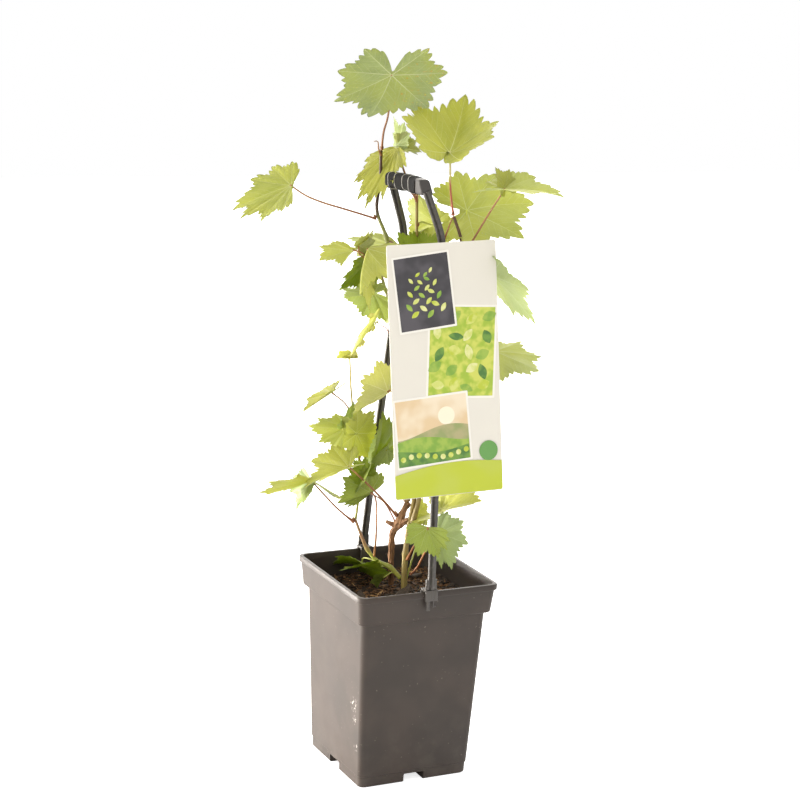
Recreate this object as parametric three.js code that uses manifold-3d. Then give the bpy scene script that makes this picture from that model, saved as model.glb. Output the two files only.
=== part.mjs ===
// A young grapevine in a square container, with its carrying handle and picture card.
// Millimetres, +Z up. The origin is the centre of the pot's underside. The handle's
// front clip is on the -Y rim, its back clip on the +Y rim.
import * as THREE from "three";
import { mergeVertices } from "three/addons/utils/BufferGeometryUtils.js";
import Module from "manifold-3d";

const wasm = await Module();
wasm.setup();

// ---- driving dimensions -------------------------------------------------------------
const GAP = 0.4; // clearance kept between neighbouring pieces
const SMOOTHING = 0.06; // how far a face may move when slivers are merged

const POT = {
  height: 200,
  lipHalf: 75,
  lipHeight: 6,
  collarTopHalf: 73.2,
  collarBottom: 171,
  collarBottomHalf: 71.1,
  bodyTopHalf: 66.8,
  footLine: 11,
  footHalf: 59.6,
  bottomHalf: 59,
  bottomBevel: 1.6,
  corner: 9,
  wall: 1.9,
  floor: 2.4,
};
const DRAIN = { width: 22, height: 8.5, depth: 30, wall: 1.8, holeRadius: 3.5 };
const SOIL_TOP = 179;
const CORNER_STEPS = 2;

const HANDLE = {
  legWidth: 7.6,
  legDepth: 5.2,
  webDepth: 2.2,
  ridgeWidth: 2.6,
  gripWidth: 19,
  gripHeight: 15,
  clipWidth: 13,
  clipDrop: 13,
};
// The handle leans a little and has sprung out of true, so its elbows are given as [x, y, z].
const FRONT_LEG = [[-1, -76.2, 203], [0.5, -70, 292], [4, -55.5, 415], [9, -42, 534], [-7, -40.5, 572]];
const BACK_LEG = [[-1, 76.2, 203], [2, 70, 275], [7, 55, 410], [12, 42.5, 527], [-1, 42.5, 566]];
const GRIP_LINE = [[-6, 46, 577], [-7, 20, 580], [-9, -10, 583], [-11.5, -44, 585]];

const CARD = {
  width: 110,
  height: 238,
  thickness: 1,
  centre: [8.6, -62.4, 414],
  yaw: -5,
  lean: 7,
  tilt: -2.5,
};

// Stems, as points up the middle and the thickness at the foot and at the tip.
const STEM_FOOT = SOIL_TOP + GAP;
const STEMS = {
  old_stem: {
    route: [[-1, 9, STEM_FOOT], [-2, 10, 205], [-3, 9, 238], [1, 4, 248], [5, 0, 258], [7, -2, 268]],
    thick: [7, 7.5],
    bark: true,
  },
  old_stub: { route: [[-2, 9, 240], [-5, 11, 243], [-7, 12, 248]], thick: [5, 4], bark: true },
  cane_middle: {
    route: [[2, -15, STEM_FOOT], [2, -12, 214], [6, -9, 244], [11, -8, 274], [14, 3, 368],
      [13, 13, 466], [13, 19, 521], [13, 23, 563]],
    thick: [5.6, 3],
  },
  cane_left: {
    route: [[7, -2, 269], [4, 12, 337], [1, 28, 404], [-1, 40, 462], [-3, 49, 517],
      [-11, 59, 543], [-8, 62, 567], [-7, 65, 604]],
    thick: [5, 3.2],
  },
  cane_right: {
    route: [[9, -13, 250], [14, -13, 276], [24, -8, 341], [34, -7, 430], [46, -10, 527], [39, -6, 549]],
    thick: [4.6, 3],
  },
  low_shoot: {
    route: [[0, -9, 193], [-7, -1, 202], [-15, 7, 205], [-21, 14, 211], [-25, 17, 217],
      [-32, 22, 235], [-36, 24, 246]],
    thick: [4.6, 2.8],
  },
  low_shoot_tip: {
    route: [[-36, 24, 247], [-35, 24, 257], [-33, 26, 270], [-33, 26, 290], [-34, 27, 316], [-39, 31, 340]],
    thick: [2.6, 2.2],
  },
  side_shoot: { route: [[-4, 41, 466], [-12, 33, 476], [-20, 25, 489], [-30, 21, 500]], thick: [3.4, 2.6] },
  young_shoot: { route: [[-24, 18, 458], [-30, 21, 444], [-36, 25, 434], [-40, 31, 421], [-43, 36, 409]], thick: [5, 3.4] },
  tendril_stem: { route: [[-41, 34, 352], [-42, 37, 385], [-43, 39, 405]], thick: [2.4, 2.2] },
  leafstalk_top: { route: [[-7, 64, 605], [-7, 64, 617], [-5, 60, 631], [-5, 56, 648], [-6, 53, 672]], thick: [2.6, 2] },
  leafstalk_far_left: {
    route: [[-12, 59, 539], [-36, 68, 546], [-64, 76, 554], [-85, 80, 563], [-93, 82, 569]],
    thick: [2.4, 2],
  },
  leafstalk_upper_right: { route: [[38, -6, 551], [34, -5, 575], [32, -5, 604]], thick: [2.6, 2] },
  leafstalk_right: { route: [[46, -14, 511], [50, -25, 529], [61, -33, 555], [69, -39, 573]], thick: [2.4, 2] },
  leafstalk_right_back: { route: [[47, -6, 508], [55, 2, 512], [61, 9, 523], [63, 14, 549]], thick: [2.4, 2] },
  leafstalk_long_left: { route: [[0, 4, 252], [-14, 6, 268], [-27, 4, 281], [-53, 0, 305]], thick: [2.8, 2.2] },
  leafstalk_drooping: { route: [[-38, 24, 244], [-53, 26, 257], [-65, 28, 269], [-77, 29, 283]], thick: [2.4, 2] },
  leafstalk_front: { route: [[4, -15, 214], [-1, -33, 231], [-8, -59, 249], [-13, -85, 265]], thick: [2.4, 2] },
  leafstalk_front_right: { route: [[6, -18, 199], [8, -32, 214], [8, -43, 231], [12, -57, 249]], thick: [2.4, 2] },
};

// Foliage masses. Each blade has its junction with the stalk, its turn (compass heading of
// the midrib, its climb, and the roll about it, in degrees), the length of its midrib, how
// far it curls and how steeply its halves fold. spread and reach widen or lengthen the two
// sides of the blade.
const MASSES = {
  foliage_top: [{ at: [-6, 53, 676], turn: [-130, -45, 175], length: 74, bend: 45, fold: 0 }],
  foliage_upper_right: [
    { at: [31, -5, 608], turn: [55, 20, 0], length: 80, bend: -45, fold: 35, spread: [1.1, 1], reach: [1, 0.9] },
  ],
  foliage_hooked: [{ at: [6, 55, 609], turn: [-155, -30, 125], length: 77, bend: 5, fold: 10, reach: [0.9, 1.1] }],
  foliage_far_left: [
    { at: [-96, 82, 571], turn: [-175, -25, 0], length: 71, bend: 35, fold: 10, spread: [0.9, 1], reach: [1, 1.1] },
  ],
  foliage_right_back: [
    { at: [63, 15, 552], turn: [-15, 20, -35], length: 69, bend: 25, fold: 5, spread: [1, 0.9], reach: [1, 0.9] },
  ],
  foliage_right_tip: [{ at: [72, -42, 581], turn: [-40, 5, -10], length: 57, bend: 20, fold: 15, reach: [0.9, 0.7] }],
  foliage_behind_handle: [
    { at: [39, 31, 539], turn: [125, 20, 115], length: 40, bend: 25, fold: 15, spread: [0.9, 1] },
  ],
  foliage_behind_card: [{ at: [7, -1, 504], turn: [70, 55, 5], length: 37, bend: 20, fold: 40 }],
  foliage_left_young: [
    { at: [-58, 12, 516], turn: [90, -30, 10], length: 33, bend: 15, fold: 25, spread: [1, 0.8], reach: [0.9, 1.2] },
    { at: [-54, 10, 521], turn: [25, 10, -160], length: 27, bend: 35, fold: 10, spread: [1.1, 1] },
  ],
  foliage_left_folded: [
    { at: [-47, 1, 519], turn: [-130, -30, 135], length: 59, bend: -20, fold: 50, spread: [0.8, 0.9], reach: [0.9, 1.1] },
  ],
  foliage_left_shaded: [
    { at: [-31, 38, 500], turn: [-125, -25, -65], length: 48, bend: 5, fold: 15, spread: [0.9, 1.1] },
  ],
  foliage_left_lower: [
    { at: [-31, 21, 474], turn: [120, -20, 155], length: 43, bend: 15, fold: 20, spread: [1, 0.9], reach: [1, 1.1] },
  ],
  foliage_mid_left: [
    { at: [-15, 8, 379], turn: [-170, -20, -60], length: 46, bend: 10, fold: 30, spread: [1.1, 0.9], reach: [1, 0.9] },
  ],
  foliage_edge_left: [{ at: [-59, 41, 373], turn: [170, -35, -10], length: 35, bend: -5, fold: 10, spread: [0.9, 1] }],
  foliage_spread_left: [
    { at: [-47, 32, 339], turn: [150, -5, 120], length: 37, bend: 5, fold: 20, spread: [0.8, 0.6], reach: [1, 0.9] },
    { at: [-41, 32, 341], turn: [55, 45, 100], length: 27, bend: 5, fold: 25, spread: [0.8, 0.9] },
  ],
  foliage_inner_left: [
    { at: [-40, 27, 346], turn: [-110, -45, 60], length: 41, bend: -10, fold: 25, spread: [1.1, 0.9] },
  ],
  foliage_inner_back: [
    { at: [-15, 36, 301], turn: [-75, 60, 155], length: 58, bend: 25, fold: 15, spread: [0.7, 1], reach: [1.1, 1] },
  ],
  foliage_long_left: [{ at: [-56, -1, 308], turn: [170, -15, 5], length: 50, bend: 15, fold: 25 }],
  foliage_drooping_left: [
    { at: [-79, 29, 285], turn: [100, -30, 5], length: 46, bend: 20, fold: 20, spread: [1, 0.9], reach: [1.1, 0.8] },
  ],
  foliage_outer_left: [{ at: [-77, 45, 297], turn: [-130, 20, -180], length: 54, bend: 5, fold: 25, reach: [1, 1.2] }],
  foliage_low_left: [{ at: [-22, 29, 273], turn: [165, -30, 5], length: 37, bend: 15, fold: 15, spread: [0.9, 0.9] }],
  foliage_right_middle: [{ at: [74, -21, 495], turn: [-45, -35, 35], length: 63, bend: 15, fold: 0, spread: [0.9, 1] }],
  foliage_right_low: [
    { at: [81, -24, 420], turn: [-60, -10, 165], length: 51, bend: -10, fold: 10, spread: [0.9, 0.9], reach: [1, 0.9] },
  ],
  foliage_under_card: [{ at: [39, -11, 260], turn: [-65, 25, -25], length: 51, bend: 5, fold: 20, spread: [1, 0.9] }],
  foliage_front_low: [{ at: [-15, -88, 268], turn: [15, -25, 145], length: 29, bend: -10, fold: 35, spread: [1, 1.1] }],
  foliage_front_right: [{ at: [13, -60, 252], turn: [5, -65, 5], length: 44, bend: 15, fold: 30, reach: [0.9, 1] }],
  foliage_inner_low: [
    { at: [22, 7, 253], turn: [25, 20, -75], length: 18, bend: 5, fold: 25, spread: [0.9, 0.9], reach: [1.1, 1] },
  ],
  foliage_soil_left: [
    { at: [-17, 46, 194], turn: [120, 5, -25], length: 34, bend: 45, fold: 0, spread: [1.1, 1], reach: [1, 0.9] },
  ],
  foliage_soil_front: [
    { at: [-26, 26, 197], turn: [-80, 20, -160], length: 28, bend: 25, fold: 20, spread: [1, 1.1], reach: [1.1, 1] },
    { at: [-14, 3, 191], turn: [115, -50, -5], length: 14, bend: 25, fold: 20 },
  ],
  foliage_back_high: [{ at: [17, 67, 511], turn: [60, -25, 10], length: 60, bend: 30, fold: 15 }],
  foliage_back_middle: [{ at: [34, 60, 433], turn: [75, -20, -20], length: 56, bend: 25, fold: 20 }],
  foliage_back_right: [{ at: [44, 28, 352], turn: [30, -30, 15], length: 52, bend: 20, fold: 20 }],
};
// Half a blade's outline, as [degrees from the tip, distance from the junction / midrib
// length]: the lobes and the bays between them. Large blades get their shoulders too.
const LOBES = [[26, 0.76], [50, 0.91], [73, 0.69], [95, 0.81], [116, 0.6], [136, 0.66], [171, 0.13]];
const SHOULDERS = [[14, 0.86], [64, 0.77], [108, 0.68], [152, 0.56]];
const BLADE = { half: 1.8, midRing: 0.6, crease: 0.06, backCurl: 0.4, large: 50 };

const COLOURS = {
  pot: 0x57504b,
  soil: 0x3b2a1c,
  handle: 0x2b2a29,
  card: 0xd9dcc0,
  bark: 0x7a5136,
  stem: 0x9b7a4a,
  blade: 0xa3b83a,
};

// ---- solids -------------------------------------------------------------------------
const rad = THREE.MathUtils.degToRad;
const vec = (p) => new THREE.Vector3(...p);

function toSolid(geometry) {
  const bare = geometry.clone();
  bare.deleteAttribute("normal");
  bare.deleteAttribute("uv");
  const merged = mergeVertices(bare, 1e-4);
  return new wasm.Manifold(
    new wasm.Mesh({
      numProp: 3,
      vertProperties: new Float32Array(merged.attributes.position.array),
      triVerts: new Uint32Array(merged.index.array),
    }),
  );
}

function toGeometry(solid) {
  const mesh = solid.getMesh();
  const geometry = new THREE.BufferGeometry();
  geometry.setAttribute("position", new THREE.BufferAttribute(mesh.vertProperties, 3));
  geometry.setIndex(new THREE.BufferAttribute(mesh.triVerts, 1));
  geometry.computeVertexNormals();
  return geometry;
}

const block = (size, centre) =>
  toSolid(new THREE.BoxGeometry(...size).translate(...centre));
const join = (solids) => solids.reduce((whole, next) => whole.add(next));
const cut = (solid, cutters) => cutters.reduce((whole, next) => whole.subtract(next), solid);

// Bends a straight shape, which runs from z = 0 to 1, along a curve. Its x keeps to the
// side direction given, and radiusAt scales the section along the way.
function bendAlong(geometry, curve, side, radiusAt = () => 1) {
  const place = geometry.attributes.position;
  const point = new THREE.Vector3();
  for (let i = 0; i < place.count; i += 1) {
    point.fromBufferAttribute(place, i);
    const t = THREE.MathUtils.clamp(point.z, 0, 1);
    const ahead = curve.getTangentAt(t);
    const across = side.clone().addScaledVector(ahead, -side.dot(ahead)).normalize();
    const front = ahead.clone().cross(across);
    const size = radiusAt(t);
    const on = curve.getPointAt(t);
    on.addScaledVector(across, point.x * size).addScaledVector(front, point.y * size);
    place.setXYZ(i, on.x, on.y, on.z);
  }
  return geometry;
}

// A tapering limb: a cylinder bent along a smooth curve. extra thickens it, for a cutter.
function limb({ route, thick, bark = false }, extra = 0) {
  const curve = new THREE.CatmullRomCurve3(route.map(vec), false, "centripetal");
  const sides = bark ? 8 : 6;
  const steps = THREE.MathUtils.clamp(Math.round(curve.getLength() / 30) + 2, 3, 12);
  const tube = new THREE.CylinderGeometry(1, 1, 1, sides, steps).rotateX(Math.PI / 2).translate(0, 0, 0.5);
  const radiusAt = (t) => {
    const knots = bark ? 1 + 0.12 * Math.sin(t * 17) : 1;
    return (THREE.MathUtils.lerp(thick[0], thick[1], t) / 2) * knots + extra;
  };
  const solid = toSolid(bendAlong(tube, curve, new THREE.Vector3(1, 0.3, 0), radiusAt));
  return levelFoot(solid, route[0][2]);
}

// A limb that starts at soil level is cut flat there.
function levelFoot(solid, foot) {
  if (foot > STEM_FOOT) return solid;
  return solid.subtract(block([60, 60, 20], [0, 0, foot - 10 + 0.02]));
}

// The outline of a blade in its own plane: x across, y towards the tip.
function bladeOutline({ length, spread = [1, 1], reach = [1, 1] }) {
  const lobes = length < BLADE.large ? LOBES : [...LOBES, ...SHOULDERS].sort((a, b) => a[0] - b[0]);
  const side = (wide, far, sign) =>
    lobes.map(([angle, radius]) => {
      const turned = rad(Math.min(172, angle > 160 ? angle : angle * wide)) * sign;
      return [Math.sin(turned) * radius * far, Math.cos(turned) * radius * far];
    });
  const right = side(spread[0], reach[0], 1);
  const left = side(spread[1], reach[1], -1);
  return [[0, 1], ...right, ...left.reverse()];
}

// Moves a point of the flat blade to where the folded, curled blade has it.
function bladePoint(across, along, above, blade) {
  const fold = rad(blade.fold);
  const lift = (Math.hypot(across, BLADE.crease) - BLADE.crease) * Math.sin(fold) + above;
  const curl = rad(blade.bend || 1) * (along > 0 ? 1 : BLADE.backCurl);
  const angle = curl * along;
  return [
    across * Math.cos(fold),
    Math.sin(angle) / curl + lift * Math.sin(angle),
    (Math.cos(angle) - 1) / curl + lift * Math.cos(angle),
  ];
}

function bladeAxes([heading, climb, roll]) {
  const h = rad(heading);
  const c = rad(climb);
  const r = rad(roll);
  const along = new THREE.Vector3(Math.cos(c) * Math.cos(h), Math.cos(c) * Math.sin(h), Math.sin(c));
  const up = new THREE.Vector3(-Math.sin(c) * Math.cos(h), -Math.sin(c) * Math.sin(h), Math.cos(c));
  const across = along.clone().cross(up);
  const turnedAcross = across.clone().multiplyScalar(Math.cos(r)).addScaledVector(up, Math.sin(r));
  const turnedUp = up.clone().multiplyScalar(Math.cos(r)).addScaledVector(across, -Math.sin(r));
  return [turnedAcross, along, turnedUp];
}

// A blade as a thin, uneven pad: a flattened sphere whose rings become the thick middle
// and the thin rim. A cutter has a blunt rim, two rings deep.
function bladePad(blade, extra = 0) {
  const outline = bladeOutline(blade);
  const rings = extra > 0 ? 5 : 4;
  const n = outline.length;
  const pad = new THREE.SphereGeometry(1, n, rings);
  const place = pad.attributes.position;
  const [across, along, up] = bladeAxes(blade.turn);
  const grow = 1 + (extra * 1.6) / blade.length;
  for (let i = 0; i < place.count; i += 1) {
    const ring = Math.floor(i / (n + 1));
    const column = (n - (i % (n + 1))) % n;
    const pole = ring === 0 || ring === rings;
    const rim = Math.abs(ring - rings / 2) < 1;
    const out = grow * (pole ? 0 : rim ? 1 : BLADE.midRing);
    const ripple = pole ? 0 : 0.3 * Math.sin(column * 2.1);
    const half = (rim ? 0 : BLADE.half + ripple) + extra;
    const above = (half * Math.sign(rings / 2 - ring)) / blade.length;
    const [ox, oy] = outline[column];
    const flat = bladePoint(ox * out, oy * out, above, blade);
    const spot = vec(blade.at);
    spot.addScaledVector(across, flat[0] * blade.length);
    spot.addScaledVector(along, flat[1] * blade.length);
    spot.addScaledVector(up, flat[2] * blade.length);
    place.setXYZ(i, spot.x, spot.y, spot.z);
  }
  const solid = toSolid(pad);
  return solid.volume() > 0 ? solid : toSolid(flipped(pad));
}

function flipped(geometry) {
  const index = geometry.index.array;
  for (let i = 0; i < index.length; i += 3) {
    [index[i + 1], index[i + 2]] = [index[i + 2], index[i + 1]];
  }
  return geometry;
}

// A mass of several blades is joined by a short stalk between their junctions.
function foliageMass(blades, extra = 0) {
  const pads = blades.map((blade) => bladePad(blade, extra));
  for (let i = 1; i < blades.length; i += 1) {
    const link = { route: [blades[0].at, blades[i].at], thick: [4, 4] };
    pads.push(limb(link, extra));
  }
  return join(pads);
}

// ---- pot and soil -------------------------------------------------------------------
function roundedSquare(half, corner) {
  const points = [];
  for (let quarter = 0; quarter < 4; quarter += 1) {
    for (let step = 0; step <= CORNER_STEPS; step += 1) {
      const angle = (Math.PI / 2) * (quarter + step / CORNER_STEPS);
      const inX = (half - corner) * (quarter === 0 || quarter === 3 ? 1 : -1);
      const inY = (half - corner) * (quarter < 2 ? 1 : -1);
      points.push([inX + corner * Math.cos(angle), inY + corner * Math.sin(angle)]);
    }
  }
  return points;
}

// Stacks rounded squares, given as [half width, height], into one closed body.
function stack(levels, corner = POT.corner) {
  const sides = 4 * (CORNER_STEPS + 1);
  const body = new THREE.CylinderGeometry(1, 1, 1, sides, levels.length - 1).rotateX(Math.PI / 2);
  const place = body.attributes.position;
  const rows = levels.length - 1;
  for (let i = 0; i < place.count; i += 1) {
    const row = Math.round((place.getZ(i) + 0.5) * rows);
    const [half, height] = levels[row];
    const onAxis = Math.hypot(place.getX(i), place.getY(i)) < 0.5;
    const turn = Math.atan2(place.getY(i), place.getX(i)) / (2 * Math.PI);
    const [x, y] = roundedSquare(half, Math.min(corner, half * 0.5))[(Math.round(turn * sides) + sides) % sides];
    place.setXYZ(i, onAxis ? 0 : x, onAxis ? 0 : y, height);
  }
  return toSolid(body);
}

const outerLevels = [
  [POT.bottomHalf - POT.bottomBevel, 0],
  [POT.bottomHalf, POT.bottomBevel],
  [POT.footHalf - 0.2, POT.footLine],
  [POT.footHalf, POT.footLine + 0.6],
  [POT.bodyTopHalf, POT.collarBottom - 1.6],
  [POT.collarBottomHalf, POT.collarBottom],
  [POT.collarTopHalf, POT.height - POT.lipHeight],
  [POT.lipHalf - 0.4, POT.height - POT.lipHeight],
  [POT.lipHalf, POT.height - POT.lipHeight + 0.8],
  [POT.lipHalf, POT.height - 0.9],
  [POT.lipHalf - 0.8, POT.height],
];
const innerLevels = [
  [POT.footHalf - POT.wall, POT.floor],
  [POT.bodyTopHalf - POT.wall, POT.collarBottom + 0.5],
  [POT.collarBottomHalf - POT.wall, POT.collarBottom + 2],
  [POT.collarTopHalf - POT.wall, POT.height + 0.5],
];
const innerCorner = POT.corner - POT.wall;

function quarterTurns(make) {
  return [0, 1, 2, 3].map((quarter) => make().rotate([0, 0, quarter * 90]));
}

// The roof and walls over the drain channel in the middle of the -Y side.
function housing(extra = 0) {
  const width = DRAIN.width + 2 * (DRAIN.wall + extra);
  const top = DRAIN.height + DRAIN.wall + extra;
  const depth = DRAIN.depth + extra;
  return block([width, depth, top], [0, depth / 2 - POT.bottomHalf + 1.5, top / 2]);
}

function drainChannel() {
  const channel = block(
    [DRAIN.width, DRAIN.depth + 6, DRAIN.height + 10],
    [0, DRAIN.depth / 2 - POT.bottomHalf - 3, (DRAIN.height - 10) / 2],
  );
  const hole = new THREE.CylinderGeometry(DRAIN.holeRadius, DRAIN.holeRadius, 30, 10)
    .rotateX(Math.PI / 2)
    .translate(0, -POT.bottomHalf + DRAIN.depth - 10, 0);
  return channel.add(toSolid(hole));
}

function potSolid() {
  const shell = stack(outerLevels).subtract(stack(innerLevels, innerCorner));
  const housed = join([shell, ...quarterTurns(housing)]);
  return cut(housed, quarterTurns(drainChannel));
}

function soilSolid() {
  const [floor, ledge, step] = innerLevels;
  const levels = [
    [floor[0] - GAP, floor[1] + GAP],
    [ledge[0] - GAP, ledge[1] + GAP],
    [step[0] - GAP, step[1] + GAP],
    [step[0] - GAP + 0.4, SOIL_TOP],
  ];
  return cut(stack(levels, innerCorner), quarterTurns(() => housing(GAP)));
}

// ---- handle and card ----------------------------------------------------------------
// The legs are a flat web with a ridge down the middle of each face.
function legSection(extra) {
  const w = HANDLE.legWidth / 2 + extra;
  const r = HANDLE.ridgeWidth / 2 + extra;
  const t = HANDLE.webDepth / 2 + extra;
  const d = HANDLE.legDepth / 2 + extra;
  return new THREE.Shape([[w, t], [r, d], [-r, d], [-w, t], [-w, -t], [-r, -d], [r, -d], [w, -t]]
    .map(([x, y]) => new THREE.Vector2(x, y)));
}

// A line through elbows, with a mitred section at each.
function elbows(points) {
  const last = points.length - 1;
  const at = (i) => vec(points[THREE.MathUtils.clamp(i, 0, last)]);
  return {
    getPointAt: (t) => at(Math.round(t * last)),
    getTangentAt: (t) => {
      const i = Math.round(t * last);
      const into = at(i).sub(at(i - 1)).normalize();
      const out = at(i + 1).sub(at(i)).normalize();
      return into.add(out).normalize();
    },
  };
}

function leg(points, extra = 0) {
  const steps = points.length - 1;
  const bar = new THREE.ExtrudeGeometry(legSection(extra), { depth: 1, steps, bevelEnabled: false });
  return toSolid(bendAlong(bar, elbows(points), new THREE.Vector3(1, 0, 0)));
}

// The grip is a round-backed bar with finger scallops along its underside.
function grip(extra = 0) {
  const curve = new THREE.CatmullRomCurve3(GRIP_LINE.map(vec), false, "centripetal");
  const w = HANDLE.gripWidth / 2 + extra;
  const h = HANDLE.gripHeight / 2 + extra;
  const shape = new THREE.Shape();
  shape.moveTo(-w, -h);
  shape.lineTo(w, -h);
  shape.lineTo(w, h - 5);
  shape.quadraticCurveTo(w, h, w - 5, h);
  shape.lineTo(-w + 5, h);
  shape.quadraticCurveTo(-w, h, -w, h - 5);
  shape.closePath();
  const bar = new THREE.ExtrudeGeometry(shape, { depth: 1, steps: 12, bevelEnabled: false, curveSegments: 3 });
  const place = bar.attributes.position;
  for (let i = 0; i < place.count; i += 1) {
    const scallop = place.getY(i) < 0 ? 1.3 * Math.sin(place.getZ(i) * Math.PI * 8) : 0;
    place.setY(i, place.getY(i) + scallop);
  }
  return toSolid(bendAlong(bar, curve, new THREE.Vector3(1, 0, 0)));
}

// A clip straddles the rim: a block outside and inside, a bridge over it and two barbs.
function clip(sign, extra = 0) {
  const { clipWidth: w, clipDrop: drop } = HANDLE;
  const out = sign * (POT.lipHalf + GAP + 1.5);
  const inside = sign * (POT.collarBottomHalf - POT.wall - GAP - 1.2);
  const top = POT.height + GAP;
  const g = 2 * extra;
  const parts = [
    block([w + g, 3 + g, 10 + g], [-1, out, top - 5 + 1]),
    block([w + g, 2.4 + g, 12 + g], [-1, inside, top - 6 + 1]),
    block([w + g, Math.abs(out - inside) + 3 + g, 2.2 + g], [-1, (out + inside) / 2, top + 1.1]),
  ];
  for (const side of [-1, 1]) {
    parts.push(block([3.4 + g, 2.6 + g, drop + g], [-1 + side * 3.6, out, top - 6 - drop / 2]));
  }
  return join(parts);
}

function card(extra = 0) {
  const g = 2 * extra;
  const flat = new THREE.BoxGeometry(CARD.width + g, CARD.thickness + g, CARD.height + g, 1, 1, 1);
  const turn = new THREE.Euler(rad(-CARD.lean), rad(CARD.tilt), rad(CARD.yaw), "ZXY");
  const place = new THREE.Matrix4().makeRotationFromEuler(turn).setPosition(vec(CARD.centre));
  return toSolid(flat.applyMatrix4(place));
}

// ---- assembly -----------------------------------------------------------------------
const part = new THREE.Group();
const placed = [];

function overlaps(a, b) {
  return [0, 1, 2].every((k) => a.min[k] < b.max[k] && b.min[k] < a.max[k]);
}

// Adds a piece, cut clear of what is already there. make(extra) gives the solid, and with
// some extra thickness the solid that cuts what comes later.
function add(name, make, colour, { roughness = 0.7, touches = [] } = {}) {
  let solid = make(0);
  for (const other of placed) {
    if (touches.includes(other.name)) continue;
    if (overlaps(solid.boundingBox(), other.cutter.boundingBox())) solid = solid.subtract(other.cutter);
  }
  const bodies = solid.decompose();
  bodies.sort((a, b) => b.volume() - a.volume());
  const whole = bodies[0].simplify(SMOOTHING);
  placed.push({ name, cutter: make(GAP) });
  const material = new THREE.MeshStandardMaterial({ color: colour, roughness, metalness: 0 });
  const mesh = new THREE.Mesh(toGeometry(whole), material);
  mesh.name = name;
  part.add(mesh);
}

add("pot", potSolid, COLOURS.pot, { roughness: 0.55 });
add("soil", soilSolid, COLOURS.soil, { roughness: 0.95, touches: ["pot"] });
add("handle_clip_front", (extra) => clip(-1, extra), COLOURS.handle, { touches: ["pot"] });
add("handle_clip_back", (extra) => clip(1, extra), COLOURS.handle, { touches: ["pot"] });
add("handle_leg_front", (extra) => leg(FRONT_LEG, extra), COLOURS.handle);
add("handle_leg_back", (extra) => leg(BACK_LEG, extra), COLOURS.handle);
add("handle_grip", grip, COLOURS.handle);
add("picture_card", card, COLOURS.card, { roughness: 0.4 });
for (const [name, stem] of Object.entries(STEMS)) {
  add(name, (extra = 0) => limb(stem, extra), stem.bark ? COLOURS.bark : COLOURS.stem);
}
for (const [name, blades] of Object.entries(MASSES)) {
  add(name, (extra = 0) => foliageMass(blades, extra), COLOURS.blade, { roughness: 0.6 });
}

export default part;
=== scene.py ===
import math
import random

import bmesh
import bpy
import numpy as np
from mathutils import Matrix, Vector


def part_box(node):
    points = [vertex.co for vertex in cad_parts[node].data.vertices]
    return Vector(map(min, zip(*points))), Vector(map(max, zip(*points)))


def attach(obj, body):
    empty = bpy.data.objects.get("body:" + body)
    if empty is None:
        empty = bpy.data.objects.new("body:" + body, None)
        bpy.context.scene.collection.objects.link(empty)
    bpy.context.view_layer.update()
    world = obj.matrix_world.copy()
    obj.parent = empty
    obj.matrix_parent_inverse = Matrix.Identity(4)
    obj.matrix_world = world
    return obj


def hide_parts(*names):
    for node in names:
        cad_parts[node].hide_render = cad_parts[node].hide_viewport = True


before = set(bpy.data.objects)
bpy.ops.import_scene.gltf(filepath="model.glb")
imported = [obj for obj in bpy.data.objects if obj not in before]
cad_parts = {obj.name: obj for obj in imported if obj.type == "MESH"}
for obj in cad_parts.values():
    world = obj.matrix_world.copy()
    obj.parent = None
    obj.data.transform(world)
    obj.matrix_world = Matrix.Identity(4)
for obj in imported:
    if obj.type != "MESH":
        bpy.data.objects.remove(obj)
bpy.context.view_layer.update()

mm = 0.001
seed = random.Random(11)
print("frame loaded:", len(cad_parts), "nodes")


# helpers for colours, nodes and meshes

def linear(hexColour):
    parts = [int(hexColour[i:i + 2], 16) / 255 for i in (1, 3, 5)]
    return tuple(c / 12.92 if c <= 0.04045 else ((c + 0.055) / 1.055) ** 2.4 for c in parts) + (1.0,)


def addNode(tree, kind, settings=None, links=None):
    node = tree.nodes.new(kind)
    for name, value in (settings or {}).items():
        if isinstance(name, str) and hasattr(node, name):
            setattr(node, name, value)
        else:
            node.inputs[name].default_value = value
    for name, socket in (links or {}).items():
        tree.links.new(socket, node.inputs[name])
    return node


def newMaterial(name, surface):
    material = bpy.data.materials.new(name)
    material.use_nodes = True
    tree = material.node_tree
    tree.nodes.clear()
    shader = addNode(tree, "ShaderNodeBsdfPrincipled", surface)
    output = addNode(tree, "ShaderNodeOutputMaterial", links={"Surface": shader.outputs[0]})
    return material, tree, shader, output


def mixColours(tree, factor, first, second):
    # first and second are sockets or colours; factor is a socket
    links, settings = {0: factor}, {"data_type": "RGBA"}
    for place, colour in ((6, first), (7, second)):
        (settings if isinstance(colour, tuple) else links)[place] = colour
    return addNode(tree, "ShaderNodeMix", settings, links).outputs[2]


def calculate(tree, operation, first, second=0.0, third=0.0):
    links, settings = {}, {"operation": operation}
    for place, value in enumerate((first, second, third)):
        (settings if isinstance(value, (int, float)) else links)[place] = value
    return addNode(tree, "ShaderNodeMath", settings, links).outputs[0]


def ramp(tree, value, low, high, atLow=0.0, atHigh=1.0):
    settings = {"interpolation_type": "SMOOTHSTEP", "From Min": low, "From Max": high,
                "To Min": atLow, "To Max": atHigh}
    return addNode(tree, "ShaderNodeMapRange", settings, {"Value": value}).outputs[0]


def noiseAt(tree, place, size, detail=2.0, roughness=0.5):
    # size is the width of a patch in metres
    settings = {"Scale": 1 / size, "Detail": detail, "Roughness": roughness}
    return addNode(tree, "ShaderNodeTexNoise", settings, {"Vector": place}).outputs["Fac"]


def objectPlace(tree):
    return addNode(tree, "ShaderNodeTexCoord").outputs["Object"]


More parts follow.
